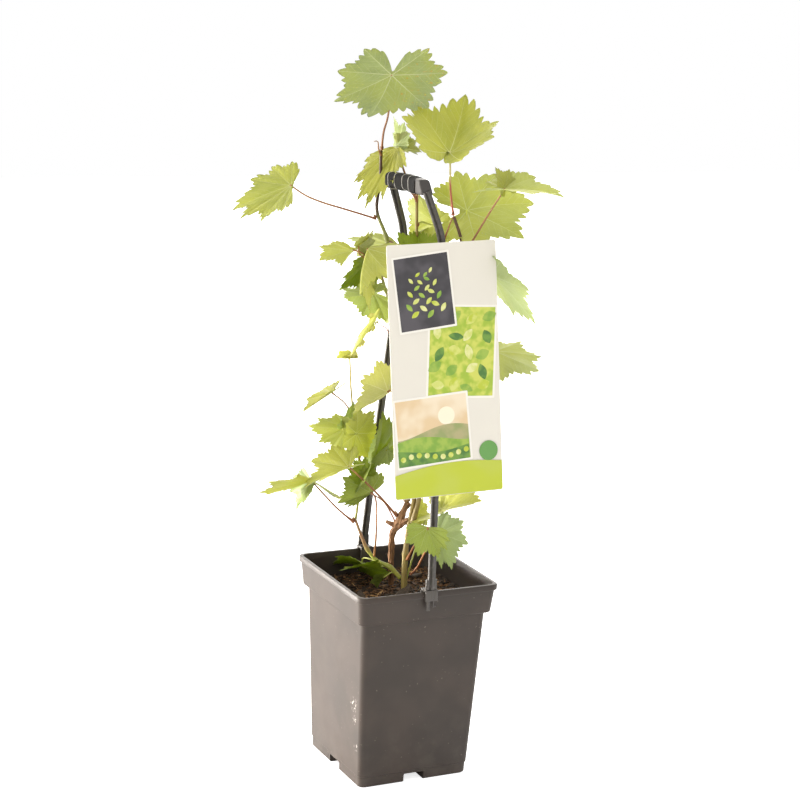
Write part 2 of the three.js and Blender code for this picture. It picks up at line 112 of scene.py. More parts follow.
def attributePlace(tree, name, output="Vector"):
    return addNode(tree, "ShaderNodeAttribute", {"attribute_name": name}).outputs[output]


def bump(tree, shader, height, depth, strength=1.0):
    node = addNode(tree, "ShaderNodeBump", {"Strength": strength, "Distance": depth}, {"Height": height})
    tree.links.new(node.outputs[0], shader.inputs["Normal"])


def colourShader(tree, shader, colour):
    tree.links.new(colour, shader.inputs["Base Color"])


def inMetres(points):
    return [Vector(p) * mm for p in points]


def link(obj):
    bpy.context.scene.collection.objects.link(obj)
    return obj


def makePiece(name, points, faces, materials, faceSlots=None, smooth=True):
    mesh = bpy.data.meshes.new(name)
    mesh.from_pydata([tuple(p) for p in points], [], [tuple(f) for f in faces])
    for material in materials:
        mesh.materials.append(material)
    if faceSlots is not None:
        mesh.polygons.foreach_set("material_index", np.asarray(faceSlots, np.int32))
    mesh.polygons.foreach_set("use_smooth", [smooth] * len(mesh.polygons))
    mesh.update()
    return link(bpy.data.objects.new(name, mesh))


def giveVectors(obj, name, values):
    layer = obj.data.attributes.new(name, "FLOAT_VECTOR", "POINT")
    layer.data.foreach_set("vector", np.asarray(values, np.float32).ravel())


def giveNumbers(obj, name, values):
    layer = obj.data.attributes.new(name, "FLOAT", "POINT")
    layer.data.foreach_set("value", np.asarray(values, np.float32).ravel())


def settle(obj, slot, *nodes):
    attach(obj, "root")
    if nodes:
        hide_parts(*nodes)
    return obj


def onlySelect(obj):
    bpy.ops.object.select_all(action="DESELECT")
    obj.select_set(True)
    bpy.context.view_layer.objects.active = obj


def newPrimitive(add, name, **where):
    bpy.ops.object.select_all(action="DESELECT")
    add(**where)
    obj = bpy.context.active_object
    obj.name = name
    obj.data.name = name
    onlySelect(obj)
    return obj


def placeInMesh(obj):
    onlySelect(obj)
    bpy.ops.object.transform_apply(location=True, rotation=True, scale=True)


def applyModifier(obj, kind, **settings):
    onlySelect(obj)
    modifier = obj.modifiers.new(kind.title(), kind)
    for name, value in settings.items():
        setattr(modifier, name, value)
    bpy.ops.object.modifier_apply(modifier=modifier.name)


def softenEdges(obj, width, degrees):
    # bevels the edges that are sharper than so many degrees
    applyModifier(obj, "BEVEL", width=width, segments=2, limit_method="ANGLE",
                  angle_limit=math.radians(degrees))


def selectFaces(obj, wanted):
    # in edit mode: selects the faces for which wanted(face) is true
    net = bmesh.from_edit_mesh(obj.data)
    bpy.ops.mesh.select_all(action="DESELECT")
    for face in net.faces:
        if wanted(face):
            face.select_set(True)
    bmesh.update_edit_mesh(obj.data)


def editMode(obj, on=True):
    if not on:
        bpy.ops.object.mode_set(mode="OBJECT")
        return
    onlySelect(obj)
    bpy.ops.object.mode_set(mode="EDIT")
    bpy.ops.mesh.select_mode(type="FACE")


def joinPieces(name, objects):
    bpy.ops.object.select_all(action="DESELECT")
    for obj in objects:
        obj.select_set(True)
    bpy.context.view_layer.objects.active = objects[0]
    bpy.ops.object.join()
    objects[0].name = name
    objects[0].data.name = name
    return objects[0]


def smoothByAngle(obj, degrees=32):
    onlySelect(obj)
    bpy.ops.object.shade_smooth_by_angle(angle=math.radians(degrees))


cameraView = {
    # angles in degrees, distances in metres, lens in mm
    "azimuth": -26.9, "elevation": 13.06, "roll": 2.88, "distance": 1.941,
    "aim": (0.0, 0.0, 0.3707), "aimAcross": -0.0053, "lens": 90.33,
}


def makeCamera():
    turn = math.radians(cameraView["azimuth"])
    rise = math.radians(cameraView["elevation"])
    roll = math.radians(cameraView["roll"])
    back = Vector((math.sin(turn) * math.cos(rise), -math.cos(turn) * math.cos(rise), math.sin(rise)))
    across = (-back).cross(Vector((0, 0, 1))).normalized()
    upward = across.cross(-back)
    aim = Vector(cameraView["aim"]) + across * cameraView["aimAcross"]
    right = across * math.cos(roll) + upward * math.sin(roll)
    up = upward * math.cos(roll) - across * math.sin(roll)
    data = bpy.data.cameras.new("camera")
    data.lens = cameraView["lens"]
    data.sensor_width = 36
    camera = link(bpy.data.objects.new("camera", data))
    camera.matrix_world = Matrix.Translation(aim + back * cameraView["distance"]) @ Matrix((
        (right.x, up.x, back.x, 0), (right.y, up.y, back.y, 0), (right.z, up.z, back.z, 0), (0, 0, 0, 1)))
    bpy.context.scene.camera = camera


studio = {
    "floorSize": 9.0, "floorBelow": 0.4 * mm, "floorColour": "#FFFFFF", "floorGlow": 0.75,
    "backdrop": 1.0, "lampColour": (1.0, 0.95, 0.89),
    # the white set behind the plant throws more light than the room in front of it
    "airFront": 0.85, "airBack": 1.6,
    "lamps": [
        # name, place, aimed at, width, height, watts, spread in degrees
        ("keySoftbox", (-2.0, -0.5, 1.5), (0, 0, 0.4), 1.4, 1.4, 16, 180),
        ("sideSoftbox", (-1.9, 1.4, 0.12), (0, 0, 0.06), 1.6, 0.5, 21, 40),
        ("topSoftbox", (-0.2, -0.8, 2.6), (0, 0, 0.3), 2.4, 2.4, 14, 180),
        ("backSoftbox", (0.9, 2.3, 1.3), (0, 0, 0.4), 1.8, 1.6, 42, 180),
    ],
}


def makeFloor():
    floor = newPrimitive(bpy.ops.mesh.primitive_plane_add, "floor", size=studio["floorSize"],
                         location=(0, 0, -studio["floorBelow"]))
    placeInMesh(floor)
    # white paper, lifted a little to the camera so that only the contact shadow shows
    surface = {"Base Color": linear(studio["floorColour"]), "Roughness": 0.9}
    paper, tree, shader, output = newMaterial("paperSweep", surface)
    seen = addNode(tree, "ShaderNodeLightPath").outputs["Is Camera Ray"]
    glow = addNode(tree, "ShaderNodeEmission",
                   links={"Strength": calculate(tree, "MULTIPLY", seen, studio["floorGlow"])})
    both = addNode(tree, "ShaderNodeAddShader", links={0: shader.outputs[0], 1: glow.outputs[0]})
    tree.links.new(both.outputs[0], output.inputs["Surface"])
    floor.data.materials.append(paper)


def makeStudio():
    makeFloor()
    world = bpy.data.worlds.new("studioAir")
    bpy.context.scene.world = world
    world.use_nodes = True
    tree = world.node_tree
    # the air's light by direction, from the room in front to the lit set behind
    heading = addNode(tree, "ShaderNodeTexCoord").outputs["Generated"]
    ahead = addNode(tree, "ShaderNodeSeparateXYZ", links={0: heading}).outputs[1]
    air = ramp(tree, ahead, -0.7, 0.7, studio["airFront"], studio["airBack"])
    seen = addNode(tree, "ShaderNodeLightPath").outputs["Is Camera Ray"]
    strength = addNode(tree, "ShaderNodeMix", {3: studio["backdrop"]}, {0: seen, 2: air}).outputs[0]
    tree.links.new(strength, tree.nodes["Background"].inputs["Strength"])
    tree.nodes["Background"].inputs["Color"].default_value = (1, 1, 1, 1)
    for name, place, aimedAt, width, height, watts, spread in studio["lamps"]:
        data = bpy.data.lights.new(name, "AREA")
        data.shape = "RECTANGLE"
        data.size, data.size_y = width, height
        data.energy = watts
        data.spread = math.radians(spread)
        data.color = studio["lampColour"]
        lamp = link(bpy.data.objects.new(name, data))
        lamp.location = place
        lamp.rotation_mode = "QUATERNION"
        lamp.rotation_quaternion = (Vector(aimedAt) - Vector(place)).to_track_quat("-Z", "Y")
    bpy.context.scene.view_settings.view_transform = "Standard"


makeCamera()
makeStudio()
print("camera, floor and lights made")


potLook = {
    "colour": "#3B312A", "darker": "#342C26", "dust": "#5E554C", "scuff": "#C9C3BA",
    "bottomHalf": 59 * mm, "corner": 6 * mm, "cornerSteps": 7,
    # outside, from the foot up: half width and height
    "outside": [(58.6, 1.2), (58.9, 10.8), (59.6, 11.6), (66.5, 168), (66.8, 169.6), (70.4, 170.6),
                (71.1, 171.4), (73.2, 193.4), (73.6, 194), (74.6, 194.2), (75, 194.8), (75, 199),
                (74.6, 199.8), (74.2, 200)],
    "inside": [(71.8, 200), (71.5, 199.4), (70.9, 193), (69.2, 172.6), (68.6, 171.4), (65.6, 170.6),
               (64.9, 169), (57.9, 13.6), (57.2, 12.8)],
    "drainWidth": 22 * mm, "drainHeight": 8.5 * mm, "drainDepth": 30 * mm, "holeRadius": 3.5 * mm,
    # where the wall is rubbed pale, and how far round that, in metres
    "scuffs": [((-0.0625, -0.046, 0.083), 0.009), ((-0.061, -0.051, 0.04), 0.005),
               ((-0.0625, -0.047, 0.068), 0.006)],
}


def moulded(name, colour, darker, roughness):
    # injection-moulded polypropylene: a soft satin sheen over a faint orange-peel skin
    surface = {"Roughness": roughness, "IOR": 1.49, "Specular IOR Level": 0.4}
    material, tree, shader, output = newMaterial(name, surface)
    place = objectPlace(tree)
    patches = ramp(tree, noiseAt(tree, place, 60 * mm, 3), 0.35, 0.65)
    colourShader(tree, shader, mixColours(tree, patches, linear(colour), linear(darker)))
    bump(tree, shader, noiseAt(tree, place, 1.2 * mm, 2), 0.04 * mm, 0.6)
    return material, tree, shader, place


def potMaterial():
    # recycled polypropylene, handled and dusty: pale dust near the foot, specks and a few scuffs
    material, tree, shader, place = moulded("mouldedPolypropylenePot", potLook["colour"],
                                            potLook["darker"], 0.5)
    base = shader.inputs["Base Color"].links[0].from_socket
    height = addNode(tree, "ShaderNodeSeparateXYZ", links={0: place}).outputs[2]
    low = ramp(tree, height, 12 * mm, 90 * mm, 1, 0)
    dusty = calculate(tree, "MULTIPLY", low, ramp(tree, noiseAt(tree, place, 22 * mm, 5, 0.6), 0.42, 0.75))
    dusty = calculate(tree, "MULTIPLY", dusty, 0.22)
    colour = mixColours(tree, dusty, base, linear(potLook["dust"]))
    specks = ramp(tree, noiseAt(tree, place, 2.4 * mm, 0), 0.81, 0.84)
    colour = mixColours(tree, calculate(tree, "MULTIPLY", specks, 0.7), colour, linear(potLook["dust"]))
    for centre, reach in potLook["scuffs"]:
        away = addNode(tree, "ShaderNodeVectorMath", {"operation": "DISTANCE", 1: centre}, {0: place})
        rubbed = ramp(tree, noiseAt(tree, place, 3.2 * mm, 3, 0.7), 0.54, 0.6)
        near = ramp(tree, away.outputs[1], reach * 0.5, reach, 0.8, 0)
        rubbed = calculate(tree, "MULTIPLY", rubbed, near)
        colour = mixColours(tree, rubbed, colour, linear(potLook["scuff"]))
    colourShader(tree, shader, colour)
    worn = ramp(tree, noiseAt(tree, place, 30 * mm, 4), 0.3, 0.7, 0.46, 0.52)
    tree.links.new(worn, shader.inputs["Roughness"])
    return material


def makeDrainCutter(quarter):
    # a channel in from the side, and its drain hole up through the floor
    wide = potLook["drainWidth"]
    deep = potLook["drainDepth"] + 6 * mm
    tall = potLook["drainHeight"] + 10 * mm
    inner = -potLook["bottomHalf"] + potLook["drainDepth"]
    channel = newPrimitive(bpy.ops.mesh.primitive_cube_add, "channel", size=1,
                           location=(0, inner - deep / 2, potLook["drainHeight"] - tall / 2))
    channel.scale = (wide, deep, tall)
    placeInMesh(channel)
    applyModifier(channel, "BEVEL", width=1.2 * mm, segments=3)
    hole = newPrimitive(bpy.ops.mesh.primitive_cylinder_add, "drainHole", vertices=24, depth=30 * mm,
                        radius=potLook["holeRadius"], location=(0, inner - 10 * mm, 0))
    applyModifier(channel, "BOOLEAN", object=hole, operation="UNION", solver="EXACT")
    bpy.data.objects.remove(hole)
    channel.rotation_euler = (0, 0, math.radians(90 * quarter))
    placeInMesh(channel)
    return channel


def makePot():
    half = potLook["bottomHalf"] - 1.6 * mm  # the flat underside, inside the foot's rounding
    pot = newPrimitive(bpy.ops.mesh.primitive_plane_add, "potShell", size=2 * half)
    editMode(pot)
    bpy.ops.mesh.select_all(action="SELECT")
    bpy.ops.mesh.bevel(offset=potLook["corner"], segments=potLook["cornerSteps"], affect="VERTICES")
    bpy.ops.mesh.select_mode(type="FACE")
    bpy.ops.mesh.select_all(action="SELECT")
    height = 0.0
    for nextHalf, nextHeight in potLook["outside"] + potLook["inside"]:
        step = (0, 0, nextHeight * mm - height)
        bpy.ops.mesh.extrude_region_move(TRANSFORM_OT_translate={"value": step})
        size = nextHalf * mm / half
        bpy.ops.transform.resize(value=(size, size, 1), center_override=(0, 0, 0))
        half, height = nextHalf * mm, nextHeight * mm
    bpy.ops.mesh.select_all(action="SELECT")
    bpy.ops.mesh.normals_make_consistent(inside=False)
    editMode(pot, False)
    for quarter in range(4):
        cutter = makeDrainCutter(quarter)
        applyModifier(pot, "BOOLEAN", object=cutter, operation="DIFFERENCE", solver="EXACT")
        bpy.data.objects.remove(cutter)
    smoothByAngle(pot, 28)
    pot.data.materials.clear()
    pot.data.materials.append(potMaterial())
    settle(pot, "pot", "pot")


makePot()
print("pot made")


compostLook = {
    "crumb": "#1F140B", "crumbPale": "#33230F", "relief": 2.6 * mm, "gridSteps": 96,
    "depth": 3.4 * mm, "wallHalf": 68.2 * mm, "corner": 6.5 * mm,
    "chips": [
        # name, colour, paler colour, how many, lengths in mm, widths as shares of the length
        ("barkChipsDark", "#22160C", "#32220F", 480, (3, 8)),
        ("barkChipsBrown", "#3E2813", "#5C4024", 900, (2, 7)),
        ("barkChipsPale", "#6B4C2C", "#96734A", 90, (3, 10)),
        ("barkFibres", "#5A3C22", "#7A5836", 320, (5, 13), (0.05, 0.11)),
        ("strawFibres", "#9A7448", "#B89468", 46, (7, 16), (0.05, 0.1)),
    ],
    # middle, length, heading, rise of the higher end
    "bigChips": [((-4, -22), 26, 20, 12), ((-44, -12), 18, 75, 7), ((36, 30), 16, -30, 6)],
    "bigChipColours": ("#2C2219", "#4C3E30"),
}


def barkFibre(name, colour, paler, roughness=0.85):
    # composted pine bark: dull, fibrous, streaked along each chip
    material, tree, shader, output = newMaterial(name, {"Roughness": roughness})
    place = objectPlace(tree)
    streaks = ramp(tree, noiseAt(tree, place, 2.2 * mm, 4, 0.65), 0.35, 0.65)
    colourShader(tree, shader, mixColours(tree, streaks, linear(colour), linear(paler)))
    bump(tree, shader, noiseAt(tree, place, 0.9 * mm, 4, 0.7), 0.3 * mm, 0.9)
    return material


def compostHeight(x, y):
    # a gently heaped surface, higher round the stems
    ripple = math.sin(x * 190 + 1.3) * math.cos(y * 230) + 0.6 * math.sin((x - y) * 410 + 0.7)
    heap = math.exp(-(x * x + y * y) / (0.035 ** 2))
    return compostLook["relief"] * (0.32 * ripple + 0.9 * heap - 0.5)


def makeCompost():
    low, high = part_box("soil")
    half = compostLook["wallHalf"]
    top = high.z - 1.5 * mm
    steps = compostLook["gridSteps"]
    surface = newPrimitive(bpy.ops.mesh.primitive_grid_add, "compostSurface", size=2 * half,
                           x_subdivisions=steps, y_subdivisions=steps, location=(0, 0, top))
    placeInMesh(surface)
    corner = compostLook["corner"]
    for vertex in surface.data.vertices:
        x, y = vertex.co.x, vertex.co.y
        outX, outY = abs(x) - (half - corner), abs(y) - (half - corner)
        if outX > 0 and outY > 0:  # the corners follow the pot's rounding
            pull = min(1.0, corner / max(math.hypot(outX, outY), 1e-9))
            x = math.copysign(half - corner + outX * pull, x)
            y = math.copysign(half - corner + outY * pull, y)
        crumbs = 0.5 * mm * seed.uniform(-1, 1)
        vertex.co = (x, y, top + compostHeight(x, y) + crumbs)
    applyModifier(surface, "SOLIDIFY", thickness=compostLook["depth"], offset=-1)
    crumb = barkFibre("compostCrumb", compostLook["crumb"], compostLook["crumbPale"], 0.95)
    surface.data.materials.append(crumb)
    smoothByAngle(surface, 60)
    settle(surface, "compost", "soil")
    return top, half


def chipShape(length, width, thick, warp):
    # a split flake: pointed at one end, broken at the other, slightly cupped
    outline = [(-0.5, -0.32), (-0.42, 0.36), (0.05, 0.5), (0.44, 0.2), (0.5, -0.12), (0.08, -0.5)]
    points = []
    for side in (1, -1):
        for x, y in outline:
            cup = warp * (x * x * 4 - 0.4) * thick
            points.append((x * length, y * width * (1 if side > 0 else 0.86), side * thick / 2 + cup))
    count = len(outline)
    faces = [tuple(range(count)), tuple(range(2 * count - 1, count - 1, -1))]
    faces += [(i, i + count, (i + 1) % count + count, (i + 1) % count) for i in range(count)]
    return np.array(points), [f[::-1] for f in faces]


def scatterChips(top, half, name, colour, paler, howMany, lengths, widths=(0.25, 0.6)):
    points, faces = [], []
    for _ in range(howMany):
        length = seed.uniform(*lengths) * mm
        width = length * seed.uniform(*widths)
        thick = length * min(widths[1], seed.uniform(0.08, 0.2))
        shape, sides = chipShape(length, width, thick, seed.uniform(-1.5, 1.5))
        reach = half - 0.6 * length
        x, y = seed.uniform(-reach, reach), seed.uniform(-reach, reach)
        if abs(x) > reach - 4 * mm and abs(y) > reach - 4 * mm:
            continue
        turn = Matrix.Rotation(seed.uniform(0, 6.3), 3, "Z") @ Matrix.Rotation(seed.gauss(0, 0.3), 3, "X")
        turn = turn @ Matrix.Rotation(seed.gauss(0, 0.22), 3, "Y")
        place = np.array((x, y, top + compostHeight(x, y) + seed.uniform(-0.4, 1.3) * mm))
        start = len(points)
        points.extend(shape @ np.array(turn).T + place)
        faces.extend(tuple(start + i for i in side) for side in sides)
    chips = makePiece(name, points, faces, [barkFibre(name + "Fibre", colour, paler)], smooth=False)
    settle(chips, "compost")


def makeBigChips(top):
    points, faces = [], []
    for (x, y), length, heading, rise in compostLook["bigChips"]:
        shape, sides = chipShape(length * mm, length * 0.5 * mm, 3.2 * mm, 0.4)
        turn = Matrix.Rotation(math.radians(heading), 3, "Z")
        turn = turn @ Matrix.Rotation(math.radians(-2.2 * rise), 3, "Y")
        start = len(points)
        points.extend(shape @ np.array(turn).T + np.array((x * mm, y * mm, top + 0.3 * rise * mm)))
        faces.extend(tuple(start + i for i in side) for side in sides)
    fibre = barkFibre("barkPieceFibre", *compostLook["bigChipColours"])
    chips = makePiece("barkPieces", points, faces, [fibre], smooth=False)
    applyModifier(chips, "BEVEL", width=0.5 * mm, segments=2)
    settle(chips, "compost")


compostTop, compostHalf = makeCompost()
for chipRow in compostLook["chips"]:
    scatterChips(compostTop, compostHalf, *chipRow)
makeBigChips(compostTop)
print("compost made")


# Stems take their centre lines from the frame and get a round skin with bark relief.

def centreLine(node, gap=3 * mm):
    # the middles and radii of a node's rings of points, from its foot to its tip
    points = np.unique(np.array([v.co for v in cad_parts[node].data.vertices]).round(6), axis=0)
    far = points[np.argmax(np.linalg.norm(points - points.mean(0), axis=1))]
    other = points[np.argmax(np.linalg.norm(points - far, axis=1))]
    along = (points - far) @ ((other - far) / np.linalg.norm(other - far))
    order = np.argsort(along)
    rings = np.split(points[order], np.where(np.diff(along[order]) > gap)[0] + 1)
    rings = [ring for ring in rings if len(ring) > 4]
    line = [(Vector(ring.mean(0)), float(np.linalg.norm(ring - ring.mean(0), axis=1).max()))
            for ring in rings]
    return line if line[0][0].z < line[-1][0].z else line[::-1]


def smoothLine(points, step=1.6 * mm):
    # a Catmull-Rom curve through the points, sampled evenly
    points = [np.array(p) for p in points]
    ends = [2 * points[0] - points[1]] + points + [2 * points[-1] - points[-2]]
    out = []
    for i in range(1, len(ends) - 2):
        a, b, c, d = ends[i - 1:i + 3]
        for t in np.linspace(0, 1, 24, endpoint=False):
            out.append(0.5 * (2 * b + (c - a) * t + (2 * a - 5 * b + 4 * c - d) * t ** 2
                              + (3 * b - a - 3 * c + d) * t ** 3))
    out.append(points[-1])
    out = np.array(out)
    reach = np.concatenate([[0], np.cumsum(np.linalg.norm(np.diff(out, axis=0), axis=1))])
    count = max(4, int(reach[-1] / step) + 1)
    at = np.linspace(0, reach[-1], count)
    return np.stack([np.interp(at, reach, out[:, k]) for k in range(3)], axis=1), at


def sections(path):
    # two directions square to the path at each point, turning as little as they can
    ahead = np.gradient(path, axis=0)
    ahead /= np.linalg.norm(ahead, axis=1)[:, None]
    side = np.cross(ahead[0], (0.3, 0.9, 0.1))
    side /= np.linalg.norm(side)
    sides = []
    for tangent in ahead:
        side = side - tangent * (side @ tangent)
        side /= np.linalg.norm(side)
        sides.append(side)
    sides = np.array(sides)
    return ahead, sides, np.cross(ahead, sides)


def ringSkin(path, radii, around):
    # radii is an array of (point, direction); gives points and faces of a closed skin
    ahead, first, second = sections(path)
    angle = np.linspace(0, 2 * np.pi, around, endpoint=False)
    ring = first[:, None] * np.cos(angle)[None, :, None] + second[:, None] * np.sin(angle)[None, :, None]
    points = path[:, None] + ring * radii[..., None]
    count = len(path)
    faces = []
    for i in range(count - 1):
        for j in range(around):
            k = (j + 1) % around
            faces.append((i * around + j, i * around + k, (i + 1) * around + k, (i + 1) * around + j))
    flat = list(points.reshape(-1, 3))
    flat.append(path[0] - ahead[0] * radii[0].mean() * 0.3)
    flat.append(path[-1] + ahead[-1] * radii[-1].mean() * 0.6)
    foot, tip = len(flat) - 2, len(flat) - 1
    for j in range(around):
        k = (j + 1) % around
        faces.append((foot, k, j))
        faces.append((tip, (count - 1) * around + j, (count - 1) * around + k))
    return np.array(flat), faces, angle


barkKinds = {
    # ridges: number, height as a share of the radius; lumps: share of the radius; node swelling
    "old": {"ridges": 7, "ridge": 0.13, "lump": 0.2, "swell": 0.2, "around": 32},
    "cane": {"ridges": 9, "ridge": 0.03, "lump": 0.04, "swell": 0.38, "around": 18},
    "stalk": {"ridges": 4, "ridge": 0.02, "lump": 0.02, "swell": 0.0, "around": 12},
}
grainSqueeze = 0.16


def skinLimb(name, points, radii, kind, skin, nodesAt=(), endSwell=0.0):
    # radii run from foot to tip; nodesAt are lengths along the limb where it thickens
    look = barkKinds[kind]
    path, reach = smoothLine(points, 1.2 * mm if kind != "stalk" else 1.8 * mm)
    base = np.interp(reach / reach[-1], np.linspace(0, 1, len(radii)), radii)
    for place in nodesAt:
        base = base * (1 + look["swell"] * np.exp(-((reach - place) / (3.2 * mm)) ** 2))
    if endSwell:  # a leafstalk is thicker at its foot and where it meets the blade
        for place in (0, reach[-1]):
            base = base * (1 + endSwell * np.exp(-((reach - place) / (3.5 * mm)) ** 2))
    around = look["around"]
    angle = np.linspace(0, 2 * np.pi, around, endpoint=False)
    phase = seed.uniform(0, 6.3)
    twist = reach[:, None] * 14 + phase
    wander = 1.5 * np.sin(reach[:, None] * 90)
    relief = look["ridge"] * np.sin(look["ridges"] * angle[None] + wander + twist)
    lumps = np.sin(2 * angle[None] + reach[:, None] * 210 + phase)
    relief = relief + look["lump"] * lumps * np.sin(reach[:, None] * 330 + 2 * phase)
    relief = relief + 0.5 * look["ridge"] * np.sin(13 * angle[None] - reach[:, None] * 520)
    flat, faces, angle = ringSkin(path, base[:, None] * (1 + relief), around)
    limb = makePiece(name, flat, faces, [stemSkins[skin]])
    # grain coordinates follow the limb: round it in true size, along it squeezed so streaks run long
    squeezed = reach * grainSqueeze
    grain = np.stack([np.cos(angle)[None] * base[:, None], np.sin(angle)[None] * base[:, None],
                      np.repeat(squeezed[:, None], around, axis=1)], axis=2).reshape(-1, 3)
    ends = [(0, 0, 0), (0, 0, squeezed[-1])]
    giveVectors(limb, "grain", list(grain) + ends)
    share = np.repeat(reach / reach[-1], around)
    giveNumbers(limb, "climb", list(share) + [0, 1])
    return limb


def stemMaterial(name, colours, streak, roughness, streakShare, fibre=1.1 * mm):
    # a stem's skin: its colour turns from foot to tip, and long fibres show darker or paler;
    # each colour after the first comes in between two shares of the length
    material, tree, shader, output = newMaterial(name, {"Roughness": roughness, "IOR": 1.45})
    grain = attributePlace(tree, "grain")
    climb = attributePlace(tree, "climb", "Fac")
    base = linear(colours[0])
    for colour, low, high in colours[1:]:
        base = mixColours(tree, ramp(tree, climb, low, high), base, linear(colour))
    fibres = ramp(tree, noiseAt(tree, grain, fibre, 4, 0.6), 0.42, 0.66)
    blotches = ramp(tree, noiseAt(tree, grain, 4.5 * mm, 2), 0.35, 0.7)
    marks = calculate(tree, "MAXIMUM", fibres, calculate(tree, "MULTIPLY", blotches, 0.6))
    share = calculate(tree, "MULTIPLY", marks, streakShare)
    colourShader(tree, shader, mixColours(tree, share, base, linear(streak)))
    bump(tree, shader, noiseAt(tree, grain, fibre, 4, 0.6), 0.25 * mm, 0.8)
    return material


stemColours = {
    # name: colour at the foot, then each later colour and the shares of the length between which
    # it comes in; colour, roughness and strength of the streaks, and their width if not 1.1 mm
    "peelingVineBark": (["#7A5636", ("#8E6A48", 0.3, 0.8)], "#4E3624", 0.85, 0.7, 1.4 * mm),
    "ripeningCaneSkin": (["#8F7E42", ("#9A7A40", 0.1, 0.5), ("#8C7A38", 0.75, 0.9)],
                         "#5F4A28", 0.55, 0.6),
    "greenCaneSkin": (["#8A6A42", ("#7F8440", 0.3, 0.6), ("#4B352A", 0.79, 0.84)],
                      "#55492E", 0.5, 0.5),
    "shadedCaneSkin": (["#8D7C48", ("#8A6440", 0.2, 0.6), ("#5E4434", 0.85, 0.95)],
                       "#4F3E2C", 0.55, 0.6),
    "youngShootSkin": (["#8E8C30", ("#8E9638", 0.1, 0.3), ("#8F6A48", 0.45, 0.7)],
                       "#6B6A34", 0.5, 0.5),
    "redLeafstalkSkin": (["#8C5A38", ("#A07446", 0.2, 0.9)], "#6E442C", 0.42, 0.5),
    "turningLeafstalkSkin": (["#A85A3C", ("#C9BE7A", 0.45, 0.62)], "#8F4A34", 0.42, 0.25),
    "paleLeafstalkSkin": (["#B8A464", ("#C0AE6C", 0.3, 0.7)], "#9A8250", 0.42, 0.3),
    "rosyLeafstalkSkin": (["#9C7048", ("#AC7C5C", 0.2, 0.7)], "#84583C", 0.42, 0.4),
    "greenLeafstalkSkin": (["#9AA046", ("#B4B858", 0.3, 0.7)], "#7C7A3A", 0.45, 0.4),
    "limeLeafstalkSkin": (["#BFC84A", ("#D3DA62", 0.3, 0.7)], "#A8B03E", 0.42, 0.3),
    "downyBudScale": (["#7A4A34", ("#B59A5A", 0.4, 0.9)], "#5C3A28", 0.7, 0.5),
    "furledLeafSkin": (["#C6C85C", ("#D2D478", 0.3, 0.7)], "#A4AC48", 0.5, 0.5),
}
stemSkins = {name: stemMaterial(name, *row) for name, row in stemColours.items()}

limbs = {
    # CAD node: kind of bark, skin, spacing of its nodes in mm
    "old_stem": ("old", "peelingVineBark", 26),
    "cane_middle": ("cane", "ripeningCaneSkin", 78),
    "cane_left": ("cane", "greenCaneSkin", 74),
    "cane_right": ("cane", "shadedCaneSkin", 71),
    "low_shoot": ("cane", "youngShootSkin", 30),
    "low_shoot_tip": ("cane", "youngShootSkin", 46),
    "side_shoot": ("cane", "youngShootSkin", 24),
}
stalks = {
    # CAD node: skin of the leafstalk, where it isn't red
    "leafstalk_upper_right": "turningLeafstalkSkin", "leafstalk_right_back": "limeLeafstalkSkin",
}
lines = {}
knottyStem = {
    # the old stem steps sideways to a knot, where it was pruned, and narrows above it; in mm
    "line": [(-1, 9, 181), (-2, 9.5, 202), (-2.3, 9.4, 216.6), (-2.4, 9.3, 229.1), (-2.1, 8, 236.1),
             (0.5, 5.4, 241.8), (1.8, 3.1, 246.9), (3.4, 0.7, 256.2), (5.5, -0.1, 261.3),
             (7.5, -1.9, 267.3)],
    "radii": [2.9, 2.6, 2.5, 2.5, 2.5, 2.8, 3.4, 4.6, 2.5, 2.9],
    "arm": [(1.6, 2.5, 246.1), (3.6, -3.3, 248.6), (6.4, -8, 251.8)],
    "armRadii": [3.2, 3.0, 2.6], "stubRadii": [2.2, 2.0, 1.5],
}


def makeLimbs():
    for node, (kind, skin, spacing) in limbs.items():
        line = centreLine(node)
        lines[node] = [p for p, r in line]
        length = sum((b - a).length for a, b in zip(lines[node], lines[node][1:]))
        nodesAt = [spacing * mm * (i + 0.5) for i in range(int(length / (spacing * mm)))]
        radii = [line[0][1] * 1.01] + [r * 0.96 for p, r in line[1:]]
        if kind == "old":
            lines[node] = inMetres(knottyStem["line"])
            radii = [r * mm for r in knottyStem["radii"]]
        piece = skinLimb(node.replace("_", "-"), lines[node], radii, kind, skin, nodesAt)
        settle(piece, "bark" if kind == "old" else "cane", node)


def alongLimb(node, share):
    # the point that lies that share of the way up a limb
    points = [np.array(p) for p in lines[node]]
    steps = np.concatenate([[0], np.cumsum([np.linalg.norm(b - a) for a, b in zip(points, points[1:])])])
    at = share * steps[-1]
    return Vector([float(np.interp(at, steps, [p[k] for p in points])) for k in range(3)])


makeLimbs()
print("stems made")


